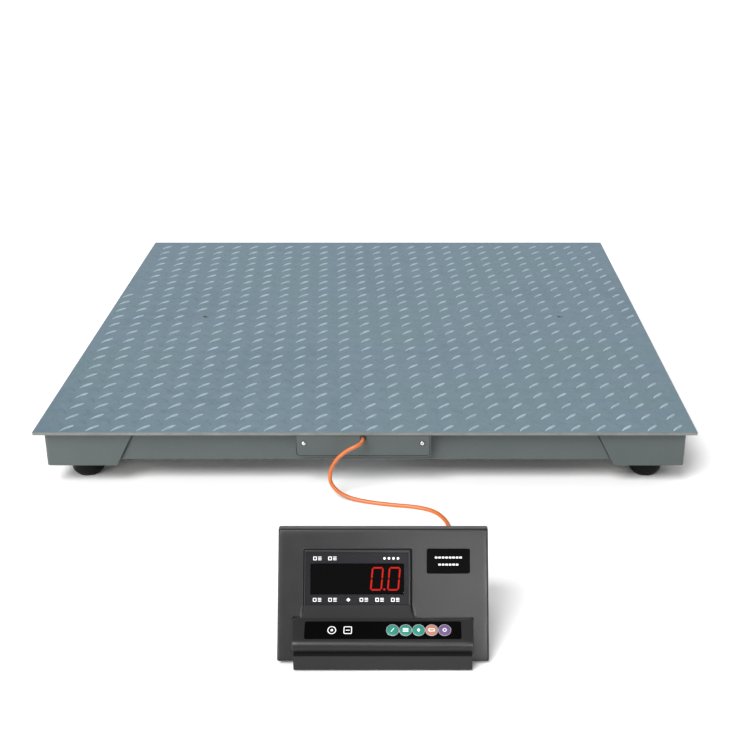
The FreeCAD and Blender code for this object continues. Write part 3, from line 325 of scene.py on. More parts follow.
MATERIALS = {
    "deck_paint": deck_paint(),
    # painted highlight for the raised tread drops
    "tread_painted_highlight": tread_painted_highlight(),
    "frame_paint": frame_paint(),
    "cell_steel": bare_steel("cell_nickel", (0.62, 0.61, 0.58), 0.34),
    "fastener_steel": bare_steel("zinc_plate", (0.66, 0.66, 0.63), 0.3),
    "screw_chrome": bare_steel("bright_screw", (0.78, 0.78, 0.79), 0.24, 0.4),
    "foot_rubber": moulded("foot_rubber", (0.004, 0.004, 0.0045), 0.5, 500, 0.25, Specular_IOR_Level=0.12),
    "small_rubber": moulded("small_rubber", (0.02, 0.02, 0.02), 0.6, 600, 0.25),
    "box_plastic": moulded("box_plastic", (0.16, 0.17, 0.18), 0.5),
    "gland_plastic": moulded("gland_nylon", (0.02, 0.02, 0.021), 0.45),
    "board": circuit_board(),
    "lead_sheath": moulded("lead_sheath", (0.02, 0.02, 0.02), 0.45, 700),
    "cable_sheath": cable_sheath(),
    "plug_metal": bare_steel("plug_shell", (0.5, 0.5, 0.52), 0.35),
    "housing": moulded(
        "housing_abs", (0.010, 0.010, 0.0106), 0.34, 1500, 0.12, 1.10, Specular_IOR_Level=0.32
    ),
    "film": moulded("display_film", (0.0075, 0.0068, 0.009), 0.42, 1200, 0.06, Specular_IOR_Level=0.12),
    "window": smoked_pane(),
    "digits": moulded("digit_face", (0.004, 0.003, 0.003), 0.5, 900, 0.05),
    "label": moulded("black_label", (0.0012, 0.0012, 0.0014), 0.45, 1200, 0.05, Specular_IOR_Level=0.02),
    "key_green": moulded("key_green", (0.013, 0.165, 0.125), 0.35, 700, 0.05),
    "key_salmon": moulded("key_salmon", (0.31, 0.135, 0.092), 0.35, 700, 0.05),
    "key_purple": moulded("key_purple", (0.092, 0.05, 0.145), 0.35, 700, 0.05),
    "battery_case": moulded("battery_case", (0.02, 0.02, 0.022), 0.5),
    "transformer_iron": wound_core(),
    "port_metal": bare_steel("port_shell", (0.7, 0.69, 0.66), 0.3),
    "fitting_black": moulded("fitting_nylon", (0.014, 0.014, 0.014), 0.42),
    "rocker": moulded("rocker_red", (0.42, 0.012, 0.012), 0.22, 500, 0.04, 1.08, Coat_Weight=0.4),
    "print_white": moulded("white_print", (0.78, 0.78, 0.78), 0.45, 900, 0.04, 1.04),
    "print_ring": moulded("grey_ring", (0.42, 0.43, 0.44), 0.4, 900, 0.04, 1.04),
    "lit": lit_segment(),
    "unlit": moulded("unlit_segment", (0.030, 0.016, 0.016), 0.45, 900, 0.04),
    "weld": bare_steel("weld_bead", (0.32, 0.34, 0.33), 0.5, 2.0),
}
SLOT_OF = {entry["node"]: entry["material_slot"] for entry in frame["record"]["subparts"]}
BODY_OF = {node: body for body, nodes in frame["record"]["behaviour"]["bodies"].items() for node in nodes}

# ---- mesh tools -----------------------------------------------------------------------------


def shade(mesh, sharp):
    """Smooth shading, but for edges sharper than this angle."""
    mesh.shade_smooth()
    mesh.set_sharp_from_angle(angle=math.radians(sharp))


def show(name, mesh, material, body="root", sharp=35):
    """Link a mesh as a piece of the object."""
    mesh.materials.clear()
    mesh.materials.append(MATERIALS[material])
    shade(mesh, sharp)
    piece = bpy.data.objects.new(name, mesh)
    bpy.context.collection.objects.link(piece)
    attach(piece, body)
    return piece


def applied(piece, kind, **settings):
    """Put a modifier on a piece and bake its result into the mesh."""
    modifier = piece.modifiers.new(kind.lower(), kind)
    for prop, value in settings.items():
        setattr(modifier, prop, value)
    evaluated = piece.evaluated_get(bpy.context.evaluated_depsgraph_get())
    mesh = bpy.data.meshes.new_from_object(evaluated)
    piece.modifiers.clear()
    old = piece.data
    piece.data = mesh
    bpy.data.meshes.remove(old)
    return piece


def to_mesh(name, bm, matrix=Matrix()):
    """Turn a bmesh drawn in millimetres into a mesh in metres."""
    bm.transform(Matrix.Scale(MM, 4) @ matrix)
    bmesh.ops.recalc_face_normals(bm, faces=bm.faces)
    mesh = bpy.data.meshes.new(name)
    bm.to_mesh(mesh)
    bm.free()
    return mesh


def refined(node, width, segments=2):
    """The CAD shape with its sharp edges eased by a width, in place of the plain node."""
    bm = bmesh.new()
    bm.from_mesh(frame["nodes"][node].data)
    bmesh.ops.remove_doubles(bm, verts=bm.verts, dist=2e-6)
    bmesh.ops.dissolve_limit(bm, angle_limit=math.radians(0.8), verts=bm.verts, edges=bm.edges)
    mesh = bpy.data.meshes.new(node + "_finished")
    bm.to_mesh(mesh)
    bm.free()
    piece = show(mesh.name, mesh, SLOT_OF[node], BODY_OF[node])
    if width:
        applied(
            piece, "BEVEL", width=width * MM, segments=segments, limit_method="ANGLE",
            angle_limit=math.radians(38), harden_normals=False, use_clamp_overlap=True,
        )
        shade(piece.data, 35)
        applied(piece, "WEIGHTED_NORMAL", keep_sharp=True, weight=100)
    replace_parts(piece, node)


def lathe(name, profile, matrix, material, body="root", steps=48, sharp=35):
    """A closed solid turned about Z from (radius, height) points that start and end on the axis."""
    bm = bmesh.new()
    rings = []
    for radius, height in profile:
        if radius < 1e-6:
            rings.append([bm.verts.new((0, 0, height))])
            continue
        ring = []
        for step in range(steps):
            angle = 2 * math.pi * step / steps
            ring.append(bm.verts.new((radius * math.cos(angle), radius * math.sin(angle), height)))
        rings.append(ring)
    for lower, upper in zip(rings, rings[1:]):
        for step in range(steps):
            following = (step + 1) % steps
            corners = [
                lower[step % len(lower)], lower[following % len(lower)],
                upper[following % len(upper)], upper[step % len(upper)],
            ]
            unique = list(dict.fromkeys(corners))
            if len(unique) > 2:
                bm.faces.new(unique)
    return show(name, to_mesh(name, bm, matrix), material, body, sharp)


def arc(centre, radius, start, end, steps):
    """Points along an arc, angles in degrees."""
    x, y = centre
    angles = [math.radians(start + (end - start) * step / steps) for step in range(steps + 1)]
    return [(x + radius * math.cos(angle), y + radius * math.sin(angle)) for angle in angles]


def circle(x, y, radius, steps=48):
    return arc((x, y), radius, 0, 360, steps)[:-1]


def shifted(loop, x, y):
    return [(x + px, y + py) for px, py in loop]


def dome_arc(radius, base, rise):
    """Points over a shallow dome from 10 to 80 degrees, as (radius, height)."""
    angles = [math.radians(10 * step) for step in range(1, 9)]
    return [(radius * math.cos(angle), base + rise * math.sin(angle)) for angle in angles]


def rounded_box(half_x, half_y, radius, steps=6):
    """A rectangle with round corners, anticlockwise about its middle."""
    points = []
    for corner, (sign_x, sign_y) in enumerate(((1, 1), (-1, 1), (-1, -1), (1, -1))):
        centre = (sign_x * (half_x - radius), sign_y * (half_y - radius))
        points += arc(centre, radius, 90 * corner, 90 * corner + 90, steps)
    return points


def plate(name, loops, low, high, matrix, material, body="root", bevel=0.15):
    """A flat plate between two heights with the first loop outside and the others as holes."""
    curve = bpy.data.curves.new(name, "CURVE")
    curve.dimensions = "2D"
    curve.fill_mode = "BOTH"
    curve.extrude = (high - low) / 2 - bevel
    curve.bevel_depth = bevel
    curve.bevel_resolution = 2
    curve.offset = -bevel
    for loop in loops:
        spline = curve.splines.new("POLY")
        spline.points.add(len(loop) - 1)
        for point, (x, y) in zip(spline.points, loop):
            point.co = (x, y, 0, 1)
        spline.use_cyclic_u = True
    carrier = bpy.data.objects.new(name, curve)
    bpy.context.collection.objects.link(carrier)
    mesh = bpy.data.meshes.new_from_object(carrier.evaluated_get(bpy.context.evaluated_depsgraph_get()))
    bpy.data.objects.remove(carrier)
    bpy.data.curves.remove(curve)
    mesh.transform(Matrix.Scale(MM, 4) @ matrix @ Matrix.Translation((0, 0, (low + high) / 2)))
    piece = show(name, mesh, material, body, 40)
    return applied(piece, "WEIGHTED_NORMAL", keep_sharp=True, weight=100)


def merged(name, pieces):
    """Several meshes as one piece, with the first one's body and material."""
    first = pieces[0]
    bm = bmesh.new()
    for piece in pieces:
        bm.from_mesh(piece.data)
    mesh = bpy.data.meshes.new(name)
    bm.to_mesh(mesh)
    bm.free()
    for material in first.data.materials:
        mesh.materials.append(material)
    first.data = mesh
    first.name = name
    for piece in pieces[1:]:
        bpy.data.objects.remove(piece)
    shade(mesh, 35)
    return first


# ---- camera and cord ------------------------------------------------------------------------

LOOK_DOWN = 22.6


def make_camera():
    """The photograph's viewpoint, in front of the indicator and above it, placed in metres."""
    data = bpy.data.cameras.new("camera")
    data.sensor_width = 36
    data.lens = 59.4
    data.shift_x = -0.0392
    camera = bpy.data.objects.new("camera", data)
    camera.location = (0.0594, -1.9506, 0.8893)
    camera.rotation_euler = (math.radians(90 - LOOK_DOWN), 0, 0)
    bpy.context.collection.objects.link(camera)
    bpy.context.scene.camera = camera


def make_cord():
    """The orange signal cable and the plug at its end."""
    curve = bpy.data.curves.new("signal_cable_run", "CURVE")
    curve.dimensions = "3D"
    curve.bevel_depth = 3 * MM
    curve.bevel_resolution = 6
    curve.resolution_u = 16
    curve.use_fill_caps = True
    spline = curve.splines.new("NURBS")
    spline.points.add(len(SIGNAL_ROUTE) - 1)
    for point, spot in zip(spline.points, SIGNAL_ROUTE):
        point.co = (*(Vector(spot) * MM), 1)
    spline.order_u = 3
    spline.use_endpoint_u = True
    curve.materials.append(MATERIALS["cable_sheath"])
    cable = bpy.data.objects.new("signal_cable_run", curve)
    bpy.context.collection.objects.link(cable)
    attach(cable, "root")
    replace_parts(cable, "signal_cable")
    plug = make_plug()


def make_plug():
    """A turned shell with its ribs at the socket and its knurled collar at the cable.

    This is the reverse of the CAD plug, whose screw collar is at the socket."""
    low, high = (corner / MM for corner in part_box("signal_plug"))
    entry = Matrix.Translation(((low.x + high.x) / 2, low.y, (low.z + high.z) / 2))
    axis = entry @ Matrix.Rotation(math.radians(-90), 4, "X")
    length = high.y - low.y
    ribs_end = 16
    barrel = 8.0
    collar_radius = 9.1
    teeth = 36
    profile = [(0, 0), (3.2, 0), (4.0, 0.4)]
    for rib in range(5):
        start = 1.2 + rib * 2.9
        radius = 4.1 + rib * 0.52
        proud = radius + 0.45
        profile += [(radius, start), (proud, start + 0.4), (proud, start + 1.7)]
        profile += [(radius - 0.1, start + 2.1)]
    profile += [(6.9, ribs_end), (barrel, ribs_end + 0.4), (barrel, length - 14), (8.3, length - 13.6)]
    profile += [(collar_radius, length - 13.2), (collar_radius, length - 2.6), (8.3, length - 2.2)]
    profile += [(barrel, length - 0.3), (7.8, length), (0, length)]
    plug = lathe("signal_plug_turned", profile, axis, "plug_metal", steps=72)
    collar = []
    out = Matrix.Translation((collar_radius, 0, length - 7.9)) @ Matrix.Rotation(math.radians(90), 4, "X")
    for tooth in range(teeth):
        spot = axis @ Matrix.Rotation(2 * math.pi * tooth / teeth, 4, "Z") @ out
        bar = rounded_box(0.22, 4.6, 0.15, 2)
        collar.append(plate("knurl", [bar], -0.25, 0.25, spot, "plug_metal", bevel=0.05))
    plug = merged("signal_plug_turned", [plug, *collar])
    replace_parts(plug, "signal_plug")
    return plug


# ---- platform -------------------------------------------------------------------------------


def smooth_step(value):
    value = min(1.0, max(0.0, value))
    return value * value * (3 - 2 * value)


def make_deck():
    """The deck as a sheared plate with eased edges and two drilled holes."""
    low, high = (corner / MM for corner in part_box("deck_plate"))
    half = (high - low) / 2
    middle = Matrix.Translation(((low.x + high.x) / 2, (low.y + high.y) / 2, 0))
    outline = rounded_box(half.x, half.y, 2, 4)
    holes = [circle(x, LIFT_HOLES_Y - DECK_Y, 5.1) for x in LIFT_HOLES_X]
    deck = plate("deck_sheet", [outline, *holes], low.z, high.z, middle, "deck_paint", bevel=0.7)
    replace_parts(deck, "deck_plate")


TREAD_PITCH_X = 38.5
TREAD_PITCH_Y = 41
TREAD_SHIFT = -2.3
TREAD_START = (10, 16)
TREAD_LEAN = math.radians(53)
TREAD_MARGIN = 13
HOLE_CLEARANCE = 16


def add_drop(bm, centre, lean, long, wide, high):
    """One raised drop: a round head that thins, with a slight double bend, to a fine tail."""
    steps = 20
    rings = 4
    turn = Matrix.Rotation(lean, 4, "Z")
    previous = None
    for ring in range(rings):
        share = 1 - ring / rings
        height = high * math.sin(math.pi / 2 * (1 - share)) - (0.3 if ring == 0 else 0)
        verts = []
        for step in range(steps):
            angle = 2 * math.pi * step / steps
            along = math.cos(angle)
            width = math.sin(angle) * (0.76 + 0.24 * along) * (1 - 0.18 * along * along)
            spine = -0.16 * math.sin(math.pi * along) * share
            spot = turn @ Vector((along * long / 2 * share, (width * share + spine) * wide / 2, 0))
            verts.append(bm.verts.new(centre + Vector((spot.x, spot.y, height))))
        if previous:
            for step in range(steps):
                following = (step + 1) % steps
                bm.faces.new((previous[step], previous[following], verts[following], verts[step]))
        previous = verts
    crown = bm.verts.new(centre + Vector((0, 0, high)))
    for step in range(steps):
        bm.faces.new((previous[step], previous[(step + 1) % steps], crown))


def make_tread():
    """Two crossed families of drops on one lattice over the deck; the crossing one is rolled flatter."""
    low, high = (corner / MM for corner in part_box("deck_plate"))
    random_source = random.Random(7)
    columns = int((high.x - low.x) / TREAD_PITCH_X) + 5
    rows = int((high.y - low.y) / TREAD_PITCH_Y) + 2
    for name, half_step, lean, long, wide, height, material in (
        # The raised family carries the painted highlight; the crossing family keeps the plain deck enamel.
        ("deck_tread_raised", 0, TREAD_LEAN, 30, 8, 1.9, "tread_painted_highlight"),
        ("deck_tread_crossing", 0.5, -TREAD_LEAN, 27, 7, 1.4, "deck_paint"),
    ):
        bm = bmesh.new()
        for row in range(rows):
            for column in range(columns):
                x = low.x + (column + half_step) * TREAD_PITCH_X + row * TREAD_SHIFT + TREAD_START[0]
                y = low.y + (row + half_step) * TREAD_PITCH_Y + TREAD_START[1]
                inside = min(x - low.x, high.x - x, y - low.y, high.y - y) > TREAD_MARGIN
                hole = min(math.hypot(x - hole_x, y - LIFT_HOLES_Y) for hole_x in LIFT_HOLES_X)
                if inside and hole > HOLE_CLEARANCE:
                    jitter = random_source.uniform(-0.02, 0.02)
                    length = long * random_source.uniform(0.97, 1.03)
                    add_drop(bm, Vector((x, y, high.z)), lean + jitter, length, wide, height)
        mesh = bpy.data.meshes.new(name)
        bm.transform(Matrix.Scale(MM, 4))
        bm.to_mesh(mesh)
        bm.free()
        show(name, mesh, material, sharp=60)


def make_foot(name):
    """A moulded bowl foot with a sole ring, and its ball stud with a ridge for each turn of thread."""
    node = f"foot_cup_{name}"
    low, high = (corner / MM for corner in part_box(node))
    middle = Matrix.Translation(((low.x + high.x) / 2, (low.y + high.y) / 2, 0))
    bowl = [(0, 0.6), (12, 0.6), (13, 0), (16.6, 0), (17.6, 0.5), (18.6, 1.8)]
    bowl += arc((13.2, 12.6), 11.6, -62, 0, 12)
    bowl += [(25, 14.6), (25, 20.6)]
    bowl += arc((22.6, 22.6), 2.4, 0, 90, 6)
    bowl += [(13.5, 25), (12.4, 24.2), (7.6, 24.2), (7.1, 23.6), (7.1, 18.4)]
    bowl += arc((0, 14), 8.1, 29, -90, 14)
    cup = lathe(node + "_moulded", bowl, middle, "foot_rubber", BODY_OF[node], 72)
    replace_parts(cup, node)
    node = f"foot_stud_{name}"
    stud = arc((0, 14), 8, -90, 52, 14)
    stud[0] = (0, 6)
    stud += [(4.5, 21.5), (4.5, 27), (5.2, 27.3)]
    pitch = 1.75
    for turn in range(32):
        start = 27.5 + turn * pitch
        stud += [(5.15, start), (5.95, start + 0.62), (5.95, start + 0.98), (5.15, start + 1.6)]
    stud += [(5.0, 84.4), (4.4, 85), (0, 85)]
    threaded = lathe(node + "_threaded", stud, middle, "fastener_steel", BODY_OF[node], sharp=28)
    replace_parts(threaded, node)


def make_cover_screws():
    """Bright domed heads on the front cover, each on a thin black ring that is painted shade for the dark
    gap round the head.
    """
    low, high = (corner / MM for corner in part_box("cover_screws"))
    shank = high.y - COVER_FACE_Y
    cad_head = 4.6
    radius = 3.1
    shade_ring_radius = 4.3
    heads = []
    shade_rings = []
    for x in (low.x + cad_head, high.x - cad_head):
        inner_end = Matrix.Translation((x, high.y, (low.z + high.z) / 2))
        axis = inner_end @ Matrix.Rotation(math.radians(90), 4, "X")
        dome = [(0, 0), (2, 0), (2, shank + 0.2), (radius, shank + 0.2), (radius, shank + 0.5)]
        dome += dome_arc(radius, shank + 0.5, 1.1)
        heads.append(lathe("cover_screw", [*dome, (0, shank + 1.6)], axis, "screw_chrome"))
        # A thin black ring under each head: painted shade for the dark gap round it.
        ring = [(2, shank), (shade_ring_radius, shank), (shade_ring_radius, shank + 0.35), (2, shank + 0.35), (2, shank)]
        shade_rings.append(lathe("cover_screw_shade_ring", ring, axis, "gland_plastic"))
    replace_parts(merged("cover_screw_heads", heads), "cover_screws")
    merged("cover_screw_shade_rings", shade_rings)


def make_platform():
    make_deck()
    make_tread()
    for name in ("front_left", "front_right", "rear_right", "rear_left"):
        refined(f"corner_guard_{name}", 1.0, 3)
        refined(f"load_cell_{name}", 0.8)
        make_foot(name)
    for name in ("front", "rear", "left", "right"):
        refined(f"side_channel_{name}", 0.3)
    for node, width in (
        ("deck_ribs", 1.0), ("load_cell_pads", 0.6), ("load_cell_bolts", 0.5),
        ("foot_locknuts", 0.5), ("lifting_nuts", 0.6), ("junction_box_base", 0.6),
        ("junction_box_lid", 0.6), ("junction_box_board", 0.0), ("cable_glands", 0.4),
        ("inner_leads", 0.0), ("front_cover", 0.25), ("cable_grommet", 0.3),
    ):
        refined(node, width)
    make_cover_screws()


# ---- indicator ------------------------------------------------------------------------------


def profile_line(corners, divisions):
    """An open side outline of (y, z) points, each inner corner (y, z, radius) turned into an arc.

    divisions gives, for a run's first corner, the measure there and the measures at which the run is
    divided. Returns the points and the measure of each divided one."""
    points = []
    marks = []
    for number, (y, z, radius) in enumerate(corners):
        here = Vector((y, z))
        if 0 < number < len(corners) - 1:
            arriving = (here - Vector(corners[number - 1][:2])).normalized()
            leaving = (Vector(corners[number + 1][:2]) - here).normalized()
            turn = arriving.angle_signed(leaving)
            reach = radius * math.tan(abs(turn) / 2)
            start = here - arriving * reach
            side = -1 if turn > 0 else 1
            centre = start + side * radius * Vector((-arriving.y, arriving.x))
            steps = max(2, int(abs(turn) / math.radians(9)))
            for step in range(steps + 1):
                spin = Matrix.Rotation(-turn * step / steps, 2)
                points.append(centre + spin @ (start - centre))
                marks.append(None)
            run_end = reach
        else:
            points.append(here)
            marks.append(None)
            run_end = 0
        if number in divisions:
            leaving = (Vector(corners[number + 1][:2]) - here).normalized()
            first, measures = divisions[number]
            for measure in measures:
                if measure - first > run_end:
                    points.append(here + leaving * (measure - first))
                    marks.append(measure)
    return points, marks


def outward_normals(points):
    normals = []
    for number in range(len(points)):
        before = points[max(0, number - 1)]
        after = points[min(len(points) - 1, number + 1)]
        along = (after - before).normalized()
        normals.append(Vector((-along.y, along.x)))
    return normals


def swept_shell(name, corners, half_width, end_round, stations, divisions, lift, is_open, thickness):
    """A moulded shell with a constant side outline and rounded ends.

    lift(x, mark) raises divided points off the outline and is_open(x, mark) leaves a hole. The side
    walls roll under at the bottom, where the outline's two ends face each other."""
    points, marks = profile_line(corners, divisions)
    normals = outward_normals(points)
    angles = [math.radians(15 * step) for step in range(7)]
    ends = [
        (half_width - end_round * (1 - math.cos(angle)), end_round * (1 - math.sin(angle)))
        for angle in angles
    ]
    columns = [(-x, inset) for x, inset in ends]
    columns += [(x, 0) for x in sorted(stations) if abs(x) < half_width - end_round - 0.05]
    columns += reversed(ends)
    bm = bmesh.new()
    grid = []
    for x, inset in columns:
        column = []
        for point, normal, mark in zip(points, normals, marks):
            raised = lift(x, mark) if mark is not None else 0
            spot = point + normal * (raised - inset)
            column.append(bm.verts.new((x, spot.x, spot.y)))
        grid.append(column)
    for first in range(len(columns) - 1):
        for row in range(len(points) - 1):
            middle_x = (columns[first][0] + columns[first + 1][0]) / 2
            both = marks[row] is not None and marks[row + 1] is not None
            if both and is_open(middle_x, (marks[row] + marks[row + 1]) / 2):
                continue
            near_side, far_side = grid[first], grid[first + 1]
            bm.faces.new((near_side[row], far_side[row], far_side[row + 1], near_side[row + 1]))
    for number in range(len(ends) - 1):
        for first, second in ((number, number + 1), (-1 - number, -2 - number)):
            bm.faces.new((grid[first][0], grid[second][0], grid[second][-1], grid[first][-1]))
    for column in (grid[0], grid[-1]):
        bm.faces.new(column)
    mesh = to_mesh(name, bm, Matrix.Translation(INDICATOR))
    piece = show(name, mesh, "housing")
    applied(piece, "SOLIDIFY", thickness=thickness * MM, offset=-1, use_rim=True, use_quality_normals=True)
    shade(piece.data, 32)
    return piece


def near(values, spread, count):
    """Extra grid lines on both sides of each value."""
    return [value + spread * (2 * step / count - 1) for value in values for step in range(count + 1)]


# HALF is half a width. The tongue, film, view, ramp and groove heights run up the panel's slope.
HOUSE_LOW = 4.5
HOUSE_HALF = 126.7
RIDGE = 142.7
TONGUE_HALF = 66
TONGUE_HIGH = 6
TONGUE_TOP = 130.6
FILM_HALF = 61.9
FILM_LOW = 66.4
FILM_TOP = 128.7
VIEW_HALF = 56.5
VIEW_LOW = 78.1
VIEW_TOP = 115.6
RAMP_FOOT = 50.2
TRAY_HALF = 107.7
TRAY_LOW = 22.5
KEYPAD_LONG = 40.5
GROOVE_LOW = 50.1
GROOVE_TOP = 52.2
GROOVE_DEEP = 4


def tongue_lift(x, up):
    """How far the display pad stands off the panel, or how deep the groove behind the tray is."""
    reach = TONGUE_HALF + 3 * smooth_step((FILM_LOW - up) / (FILM_LOW - RAMP_FOOT))
    across = smooth_step((reach - abs(x - DISPLAY_X)) / 3.2)
    if up < FILM_LOW:
        along = max(0.0, (up - RAMP_FOOT + 1.5) / (FILM_LOW - RAMP_FOOT + 1.5))
    else:
        along = smooth_step((TONGUE_TOP + 2.4 - up) / 2.4)
    height = TONGUE_HIGH * across * min(1.0, along)
    sunk_across = smooth_step((FILM_HALF + 0.35 - abs(x - DISPLAY_X)) / 0.35)
    sunk_along = smooth_step((up - FILM_LOW + 0.3) / 0.3) * smooth_step((FILM_TOP + 0.35 - up) / 0.35)
    in_groove = GROOVE_LOW < up < GROOVE_TOP and abs(x) < TRAY_HALF and across == 0
    return height - 1.4 * sunk_across * sunk_along - (GROOVE_DEEP if in_groove else 0)


def through_panel(x, up):
    """The window, and the hollow that the housing shares with the tray."""
    in_view = abs(x - DISPLAY_X) < VIEW_HALF and VIEW_LOW < up < VIEW_TOP
    return in_view or (abs(x) < TRAY_HALF - 3 and up < GROOVE_LOW - 6)


def panel_y(height):
    return (height - PANEL_FOOT) / math.tan(PANEL_TILT)


def make_upper_shell():
    """The wedge with its raised display pad, and the overhanging keypad tray."""
    ridge_y = panel_y(RIDGE)
    corners = [
        (4.6, HOUSE_LOW, 0), (panel_y(HOUSE_LOW), HOUSE_LOW, 2.6), (ridge_y + 0.6, RIDGE, 4),
        (ridge_y + 9.6, RIDGE, 2.8), (142, 72, 5), (142, HOUSE_LOW, 2.6), (138.5, HOUSE_LOW, 0),
    ]
    slope = math.sin(PANEL_TILT)
    foot = (HOUSE_LOW - PANEL_FOOT) / slope
    ups = [6 + 5.1 * step for step in range(30)]
    ups += near([RAMP_FOOT, FILM_LOW], 1.5, 6) + near([TONGUE_TOP + 1.2], 1.6, 10)
    ups += near([FILM_LOW - 0.15, FILM_TOP + 0.17], 0.2, 2) + [VIEW_LOW, VIEW_TOP, GROOVE_LOW - 6]
    ups += near([GROOVE_LOW, GROOVE_TOP], 0.06, 1)
    ups = sorted({round(up, 3) for up in ups if foot + 2 < up < (RIDGE - PANEL_FOOT) / slope - 3})
    stations = [-120 + 6 * step for step in range(41)]
    for side in (-1, 1):
        stations += near([DISPLAY_X + side * (TONGUE_HALF - 1.6)], 2.2, 10)
        stations += near([DISPLAY_X + side * (TONGUE_HALF + 1.6)], 1.6, 3)
        stations += near([DISPLAY_X + side * (FILM_HALF + 0.17)], 0.2, 2)
        stations += [DISPLAY_X + side * VIEW_HALF, side * (TRAY_HALF - 3)]
        stations += near([side * TRAY_HALF], 0.06, 1)
    stations = sorted({round(x, 3) for x in stations})
    wedge = swept_shell(
        "upper_shell_wedge", corners, HOUSE_HALF, 2.5, stations,
        {1: (foot, ups)}, tongue_lift, through_panel, 2.6,
    )
    ahead, down = math.cos(KEYPAD_TILT), math.sin(KEYPAD_TILT)
    back_y, back_z = KEYPAD_BACK.y, KEYPAD_BACK.z
    tray_corners = [
        (-1, TRAY_LOW, 0), (-6.2, TRAY_LOW, 0.5),
        (back_y - KEYPAD_LONG * ahead, back_z - KEYPAD_LONG * down, 10),
        (back_y - 0.3 * ahead, back_z - 0.3 * down, 0.3),
        (back_y + 0.2, 49, 0.3), (panel_y(TRAY_LOW) + 0.8, TRAY_LOW, 0),
    ]
    reach = KEY_RADIUS + 0.5
    low, middle, high = KEY_Y - reach, KEY_Y, KEY_Y + reach
    left, right = KEY_FIRST - reach, KEY_FIRST + (KEY_COUNT - 1) * KEY_PITCH + reach

    def in_slot(x, along):
        return left < x < right and low < along < high

    stations = [-100 + 10 * step for step in range(21)] + [left, right]
    tray = swept_shell(
        "upper_shell_tray", tray_corners, TRAY_HALF, 1.4, stations,
        {2: (-KEYPAD_LONG, [low, middle, high])}, lambda x, along: 0, in_slot, 2.0,
    )
    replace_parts(wedge, "upper_shell")
    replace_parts(tray, "upper_shell")


SEGMENTS = {
    # name: (along x from, across from, along x to, across to), in shares of the digit's half size
    "top": (-1, 1, 1, 1),
    "upper_left": (-1, 0, -1, 1),
    "upper_right": (1, 0, 1, 1),
    "middle": (-1, 0, 1, 0),
    "lower_left": (-1, -1, -1, 0),
    "lower_right": (1, -1, 1, 0),
    "bottom": (-1, -1, 1, -1),
}
ZERO = ("top", "upper_left", "upper_right", "lower_left", "lower_right", "bottom")
DIGIT_HIGH = 28
DIGIT_WIDE = 14.4
DIGIT_PITCH = 20.4
DIGIT_LAST = 13
DIGIT_LEAN = math.tan(math.radians(5))
STROKE = 1.9
DIGIT_FACE = 1.5
DOT_RADIUS = 1.35
DOT_OFFSET = 2.9
VIEW_MIDDLE = 96.9


def segment_outline(name, centre_x):
    """A bar with pointed ends, leaning with the digit."""
    x_from, y_from, x_to, y_to = SEGMENTS[name]
    half_x = (DIGIT_WIDE - STROKE) / 2
    half_y = (DIGIT_HIGH - STROKE) / 2
    start = Vector((x_from * half_x, y_from * half_y))
    end = Vector((x_to * half_x, y_to * half_y))
    along = (end - start).normalized()
    side = Vector((-along.y, along.x)) * STROKE / 2
    gap = along * 0.35
    tip = along * STROKE / 2
    corners = [
        start + gap, start + gap + tip + side, end - gap - tip + side,
        end - gap, end - gap - tip - side, start + gap + tip - side,
    ]
    return [(centre_x + corner.x + corner.y * DIGIT_LEAN, VIEW_MIDDLE + corner.y) for corner in corners]


def make_digits():
    """Digit modules behind the pane: the last two show a zero each, with a point between them."""
    refined("led_digits", 0.2)
    bars = {"lit": [], "unlit": []}

    def add(outline, is_lit):
        state = "lit" if is_lit else "unlit"
        low, high = DIGIT_FACE - 0.1, DIGIT_FACE + 0.2
        bars[state].append(plate("segment", [outline], low, high, PANEL, state, bevel=0.04))

    dot_up = VIEW_MIDDLE - DIGIT_HIGH / 2 + 1.4
    for number in range(5):
        centre_x = DIGIT_LAST - number * DIGIT_PITCH
        for name in SEGMENTS:
            add(segment_outline(name, centre_x), number < 2 and name in ZERO)
        dot_x = centre_x + DIGIT_WIDE / 2 + DOT_OFFSET - DIGIT_HIGH / 2 * DIGIT_LEAN
        add(circle(dot_x, dot_up, DOT_RADIUS, 20), number == 1)
    merged("segments_lit", bars["lit"])
    merged("segments_unlit", bars["unlit"])


